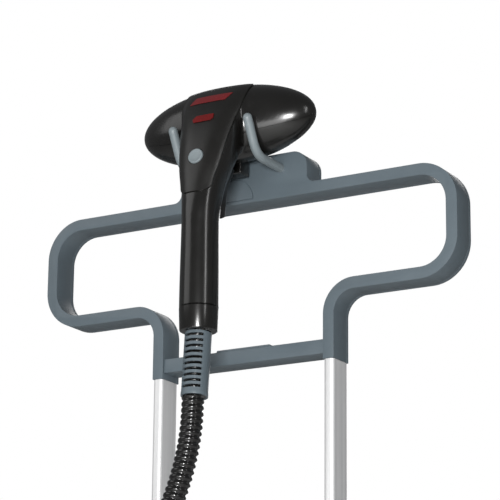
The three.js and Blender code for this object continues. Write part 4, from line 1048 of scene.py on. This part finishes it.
class STEAMER_OT_base(bpy.types.Operator):
    """Make the base: tray, housing, sockets, wheels, tank and controls"""
    bl_idname = "steamer.base"
    bl_label = "Base"

    def execute(self, context):
        self.tray()
        self.housing()
        for side in ("left", "right"):
            refined(f"pole_socket_{side}", 1.2 * MM, 3)
            refined(f"lock_collar_{side}", 1.0 * MM, 2)
            refined(f"lock_lever_{side}", 1.4 * MM, 3)
            self.wheel(side)
        self.tank()
        self.controls()
        for node in ("rubber_foot_1", "rubber_foot_2", "cord_inlet", "drain_plug", "hose_port", "ready_lamp"):
            refined(node, 0.8 * MM, 2)
        return {"FINISHED"}

    def wells(self):
        """Room for the wheels."""
        tools = []
        for side in ("left", "right"):
            low, high = box_of(f"wheel_{side}")
            middle = (low + high) / 2
            inner = low.x - 3 * MM if side == "right" else high.x + 3 * MM
            outer = inner + math.copysign(0.06, middle.x)
            profile = [(38 * MM, min(inner, outer)), (38 * MM, max(inner, outer))]
            well = lathe("well", profile, (0, middle.y, middle.z), (1, 0, 0), 64)
            slot = brick("slot", (min(inner, outer), middle.y - 38 * MM, -0.01),
                         (max(inner, outer), middle.y + 38 * MM, middle.z))
            tools.append(combine(well, [slot], "UNION"))
        return tools

    def tray(self):
        """Bottom pan of the base."""
        low, high = TRAY_LOW, TRAY_HIGH
        pan = rounded_block("base_tray_skin", low, high, BASE_CORNER, 0.0, 5 * MM)
        inner = rounded_block("inner", (low.x, low.y, low.z + BASE_WALL), (high.x, high.y, high.z + 0.01),
                              BASE_CORNER, inset=BASE_WALL)
        combine(pan, [inner] + self.wells(), "DIFFERENCE")
        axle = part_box("wheel_axle")
        middle = (Vector(axle[0]) + Vector(axle[1])) / 2
        bore = lathe("bore", [(4.4 * MM, -0.2), (4.4 * MM, 0.2)], (0, middle.y, middle.z), (1, 0, 0), 24)
        feet = []
        for i in (1, 2):
            a, b = box_of(f"rubber_foot_{i}")
            feet.append(lathe("hole", [(5.4 * MM, -0.01), (5.4 * MM, 0.01)],
                              ((a.x + b.x) / 2, (a.y + b.y) / 2, low.z), (0, 0, 1), 24))
        combine(pan, [bore] + feet, "DIFFERENCE")
        settle(pan, ["base_tray"])

    def core(self, name, inset, top_round):
        """The tall front and the low deck in one block."""
        low, high = HOUSING_LOW, HOUSING_HIGH
        deck = TANK_LOW.z - 0.3 * MM - inset
        bottom = low.z - (1 * MM if inset else 0)
        block = rounded_block(name, (low.x, low.y, bottom), (high.x, high.y, high.z - inset), BASE_CORNER,
                              top_round, inset=inset)
        room = brick("room", (-0.3, TANK_LOW.y - 1 * MM - inset, deck), (0.3, 0.3, 0.5))
        return combine(block, [room], "DIFFERENCE")

    def housing(self):
        """Upper shell of the base with its holes."""
        shell = self.core("base_housing_skin", 0.0, 9 * MM)
        bevelled(shell, 2.0 * MM, 3, 50)
        combine(shell, [self.core("inner", BASE_WALL, 6 * MM)] + self.wells(), "DIFFERENCE")
        combine(shell, self.openings(), "DIFFERENCE")
        combine(shell, [self.side_vents(-1), self.side_vents(1), self.waist_line()], "DIFFERENCE")
        settle(shell, ["base_housing"])

    def openings(self):
        """Holes for the pole sockets, hose port, dial, switch, lamp, tank valve, cord and drain."""
        top = HOUSING_HIGH.z
        tools = []
        for side in ("left", "right"):
            low, high = box_of(f"lower_pole_{side}")
            room = 0.5 * MM
            tools.append(rounded_block("hole", (low.x - room, low.y - room, top - 0.02),
                                       (high.x + room, high.y + room, top + 0.02), 6.1 * MM))
        for node, radius in (("hose_port", 15.3), ("steam_dial", 6.0), ("ready_lamp", 4.3)):
            low, high = box_of(node)
            tools.append(lathe("hole", [(radius * MM, -0.01), (radius * MM, 0.01)],
                               ((low.x + high.x) / 2, (low.y + high.y) / 2, top), (0, 0, 1), 40))
        low, high = box_of("tank_valve_seat")
        tools.append(lathe("hole", [(11.3 * MM, -0.01), (11.3 * MM, 0.01)],
                           ((low.x + high.x) / 2, (low.y + high.y) / 2, high.z), (0, 0, 1), 40))
        for node, radius in (("cord_inlet", 8.3), ("drain_plug", 9.3)):
            low, high = box_of(node)
            tools.append(lathe("hole", [(radius * MM, -0.01), (radius * MM, 0.01)],
                               ((low.x + high.x) / 2, HOUSING_HIGH.y, (low.z + high.z) / 2), (0, 1, 0), 40))
        low, high = box_of("power_switch")
        room = 0.5 * MM
        foot = (low.x - room, low.y - room, top - 0.01)
        tools.append(brick("hole", foot, (high.x + room, high.y + room, top + 0.01)))
        return tools

    def side_vents(self, side):
        """A row of slanted cooling slots low on one side."""
        x = HOUSING_HIGH.x * side
        slot = prism("vent", [(-0.055, 0.080), (-0.0525, 0.080), (-0.0465, 0.104), (-0.049, 0.104)],
                     min(x - 0.01 * side, x + 0.01 * side), max(x - 0.01 * side, x + 0.01 * side), "x")
        return repeated(slot, 9, (0, 8 * MM, 0))

    def waist_line(self):
        """A fine groove round the tall front, just above the tray."""
        z = HOUSING_LOW.z + 8 * MM
        outer = rounded_block("waist", (HOUSING_LOW.x - 0.01, HOUSING_LOW.y - 0.01, z),
                              (HOUSING_HIGH.x + 0.01, 0.0, z + 1.2 * MM), BASE_CORNER)
        inner = rounded_block("core", (HOUSING_LOW.x, HOUSING_LOW.y, z - 0.01),
                              (HOUSING_HIGH.x, 0.2, z + 0.01), BASE_CORNER, inset=1.0 * MM)
        return combine(outer, [inner], "DIFFERENCE")

    def wheel(self, side):
        """Ribbed tyre on a hub with round openings."""
        node = f"wheel_{side}"
        low, high = box_of(node)
        middle = (low + high) / 2
        radius, half = (high.z - low.z) / 2, (high.x - low.x) / 2
        out = math.copysign(1, middle.x)
        face = half / MM
        profile = [(11, -face), (27, -face), (28, -face), (32.4, -face), (33.5, -face + 1), (34, -face + 3),
                   (34, face - 3), (33.5, face - 1), (32.4, face), (28.4, face), (27.6, face - 1),
                   (27, face - 4), (13, face - 5), (12, face - 4.5), (11, face - 0.8), (10.2, face)]
        rings = [(r * MM * radius / 0.034, d * MM) for r, d in profile]
        wheel = lathe(f"{node}_skin", rings, (0, 0, 0), (out, 0, 0), 96)
        reach = half * 0.8
        groove = brick("groove", (-reach, -0.8 * MM, radius - 1.2 * MM), (reach, 0.8 * MM, radius + 0.01))
        tread = repeated(groove, 40, turn=(math.pi / 20, 0, 0))
        port_at = (0, 19.5 * MM, 0)
        port = lathe("port", [(4.2 * MM, -0.02), (4.2 * MM, 0.02)], port_at, (1, 0, 0), 24)
        ports = repeated(port, 6, turn=(math.pi / 3, 0, 0))
        bore = lathe("bore", [(4.3 * MM, -0.02), (4.3 * MM, 0.02)], (0, 0, 0), (1, 0, 0), 32)
        combine(wheel, [tread, ports, bore], "DIFFERENCE")
        settle(moved(wheel, Matrix.Translation(middle)), [node])

    def tank(self):
        """Clear tank with its cap and handle."""
        refined("water_tank", 1.2 * MM, 2, 30)
        refined("tank_handle", 2.2 * MM, 3, 40)
        low, high = box_of("tank_cap")
        middle = Vector(((low.x + high.x) / 2, (low.y + high.y) / 2, low.z + 9 * MM))
        profile = [(13.4, -9), (13.4, 0), (19.6, 0), (20, 0.6), (20, 10.5), (19.0, 11.8), (17.5, 12),
                   (3, 11.2), (0.3, 11.2)]
        cap = lathe("tank_cap_skin", in_metres(profile), (0, 0, 0), (0, 0, 1), 64)
        rib = brick("rib", (19.2 * MM, -0.7 * MM, 1.5 * MM), (20.6 * MM, 0.7 * MM, 9.5 * MM))
        combine(cap, [repeated(rib, 30, turn=(0, 0, math.pi / 15))], "UNION")
        grip = bevelled(brick("grip", (-3 * MM, -15.5 * MM, 9 * MM), (3 * MM, 15.5 * MM, 17 * MM)), 1.2 * MM)
        combine(cap, [grip], "UNION")
        settle(moved(cap, Matrix.Translation(middle)), ["tank_cap"])

    def controls(self):
        """Dial with a pointer and a ribbed skirt, rocker switch and hose nut."""
        low, high = box_of("steam_dial")
        middle = Vector(((low.x + high.x) / 2, (low.y + high.y) / 2, HOUSING_HIGH.z))
        profile = [(4, -16), (4, 0.5), (22, 0.5), (22, 3), (20.4, 4), (19.4, 14), (18.4, 15.6), (16, 16),
                   (0.3, 15.4)]
        dial = lathe("steam_dial_skin", in_metres(profile), (0, 0, 0), (0, 0, 1), 72)
        flute = lathe("flute", [(1.5 * MM, 5 * MM), (1.5 * MM, 0.03)], (20.8 * MM, 0, 0), (0, 0, 1), 12)
        combine(dial, [repeated(flute, 24, turn=(0, 0, math.pi / 12))], "DIFFERENCE")
        pointer = brick("pointer", (-2.2 * MM, -17.5 * MM, 14 * MM), (2.2 * MM, -4 * MM, 18.5 * MM))
        combine(dial, [bevelled(pointer, 0.8 * MM)], "UNION")
        settle(moved(dial, Matrix.Translation(middle)), ["steam_dial"])
        refined("power_switch", 0.9 * MM, 2, 20)
        low, high = box_of("hose_nut")
        middle = Vector(((low.x + high.x) / 2, (low.y + high.y) / 2, low.z))
        profile = [(15.6, 0), (17, 1), (17, 12), (16.2, 13), (15.0, 14), (13.2, 33), (12.6, 34), (8, 34)]
        nut = lathe("hose_nut_skin", in_metres(profile), (0, 0, 0), (0, 0, 1), 64)
        ridge = lathe("ridge", in_metres([(1.1, 1.5), (1.1, 11.5)]), (16.7 * MM, 0, 0), (0, 0, 1), 10)
        combine(nut, [repeated(ridge, 24, turn=(0, 0, math.pi / 12))], "UNION")
        settle(moved(nut, Matrix.Translation(middle)), ["hose_nut"])


# ------------------------------------------------------------------ the rest of the frame
class STEAMER_OT_finishes(bpy.types.Operator):
    """Give every frame node that still shows its real finish"""
    bl_idname = "steamer.finishes"
    bl_label = "Finishes"

    def execute(self, context):
        for node, piece in frame["nodes"].items():
            piece.data.materials.clear()
            piece.data.materials.append(FINISH[SLOT_OF[node]])
        return {"FINISHED"}


class STEAMER_PT_panel(bpy.types.Panel):
    """Lists the steps and the sizes"""
    bl_idname = "STEAMER_PT_panel"
    bl_label = "Garment steamer"
    bl_space_type = "VIEW_3D"
    bl_region_type = "UI"
    bl_category = "Steamer"

    def draw(self, context):
        for step in STEPS:
            self.layout.operator(step.bl_idname)
        for name, group in GROUPS.items():
            box = self.layout.box()
            values = getattr(context.scene, name)
            for key in group.__annotations__:
                box.prop(values, key)


GROUPS = {
    "steamer_hanger": STEAMER_PG_hanger,
    "steamer_handset": STEAMER_PG_handset,
    "steamer_hose": STEAMER_PG_hose,
    "steamer_colours": STEAMER_PG_colours,
}
STEPS = (STEAMER_OT_stage, STEAMER_OT_hose, STEAMER_OT_hanger, STEAMER_OT_poles, STEAMER_OT_handset,
         STEAMER_OT_base, STEAMER_OT_finishes)
CLASSES = (*GROUPS.values(), *STEPS, STEAMER_PT_panel)


def register():
    """Registers the classes and hangs the sizes on the scene."""
    for one in CLASSES:
        bpy.utils.register_class(one)
    for name, group in GROUPS.items():
        setattr(bpy.types.Scene, name, PointerProperty(type=group))


def unregister():
    """Takes the sizes off the scene and unregisters the classes."""
    for name in GROUPS:
        delattr(bpy.types.Scene, name)
    for one in reversed(CLASSES):
        bpy.utils.unregister_class(one)


def main():
    register()
    FINISH.update(make_finishes())
    bpy.ops.steamer.stage()
    bpy.ops.steamer.hose()
    bpy.ops.steamer.hanger()
    bpy.ops.steamer.poles()
    bpy.ops.steamer.handset()
    bpy.ops.steamer.base()
    bpy.ops.steamer.finishes()


if __name__ == "__main__":
    main()
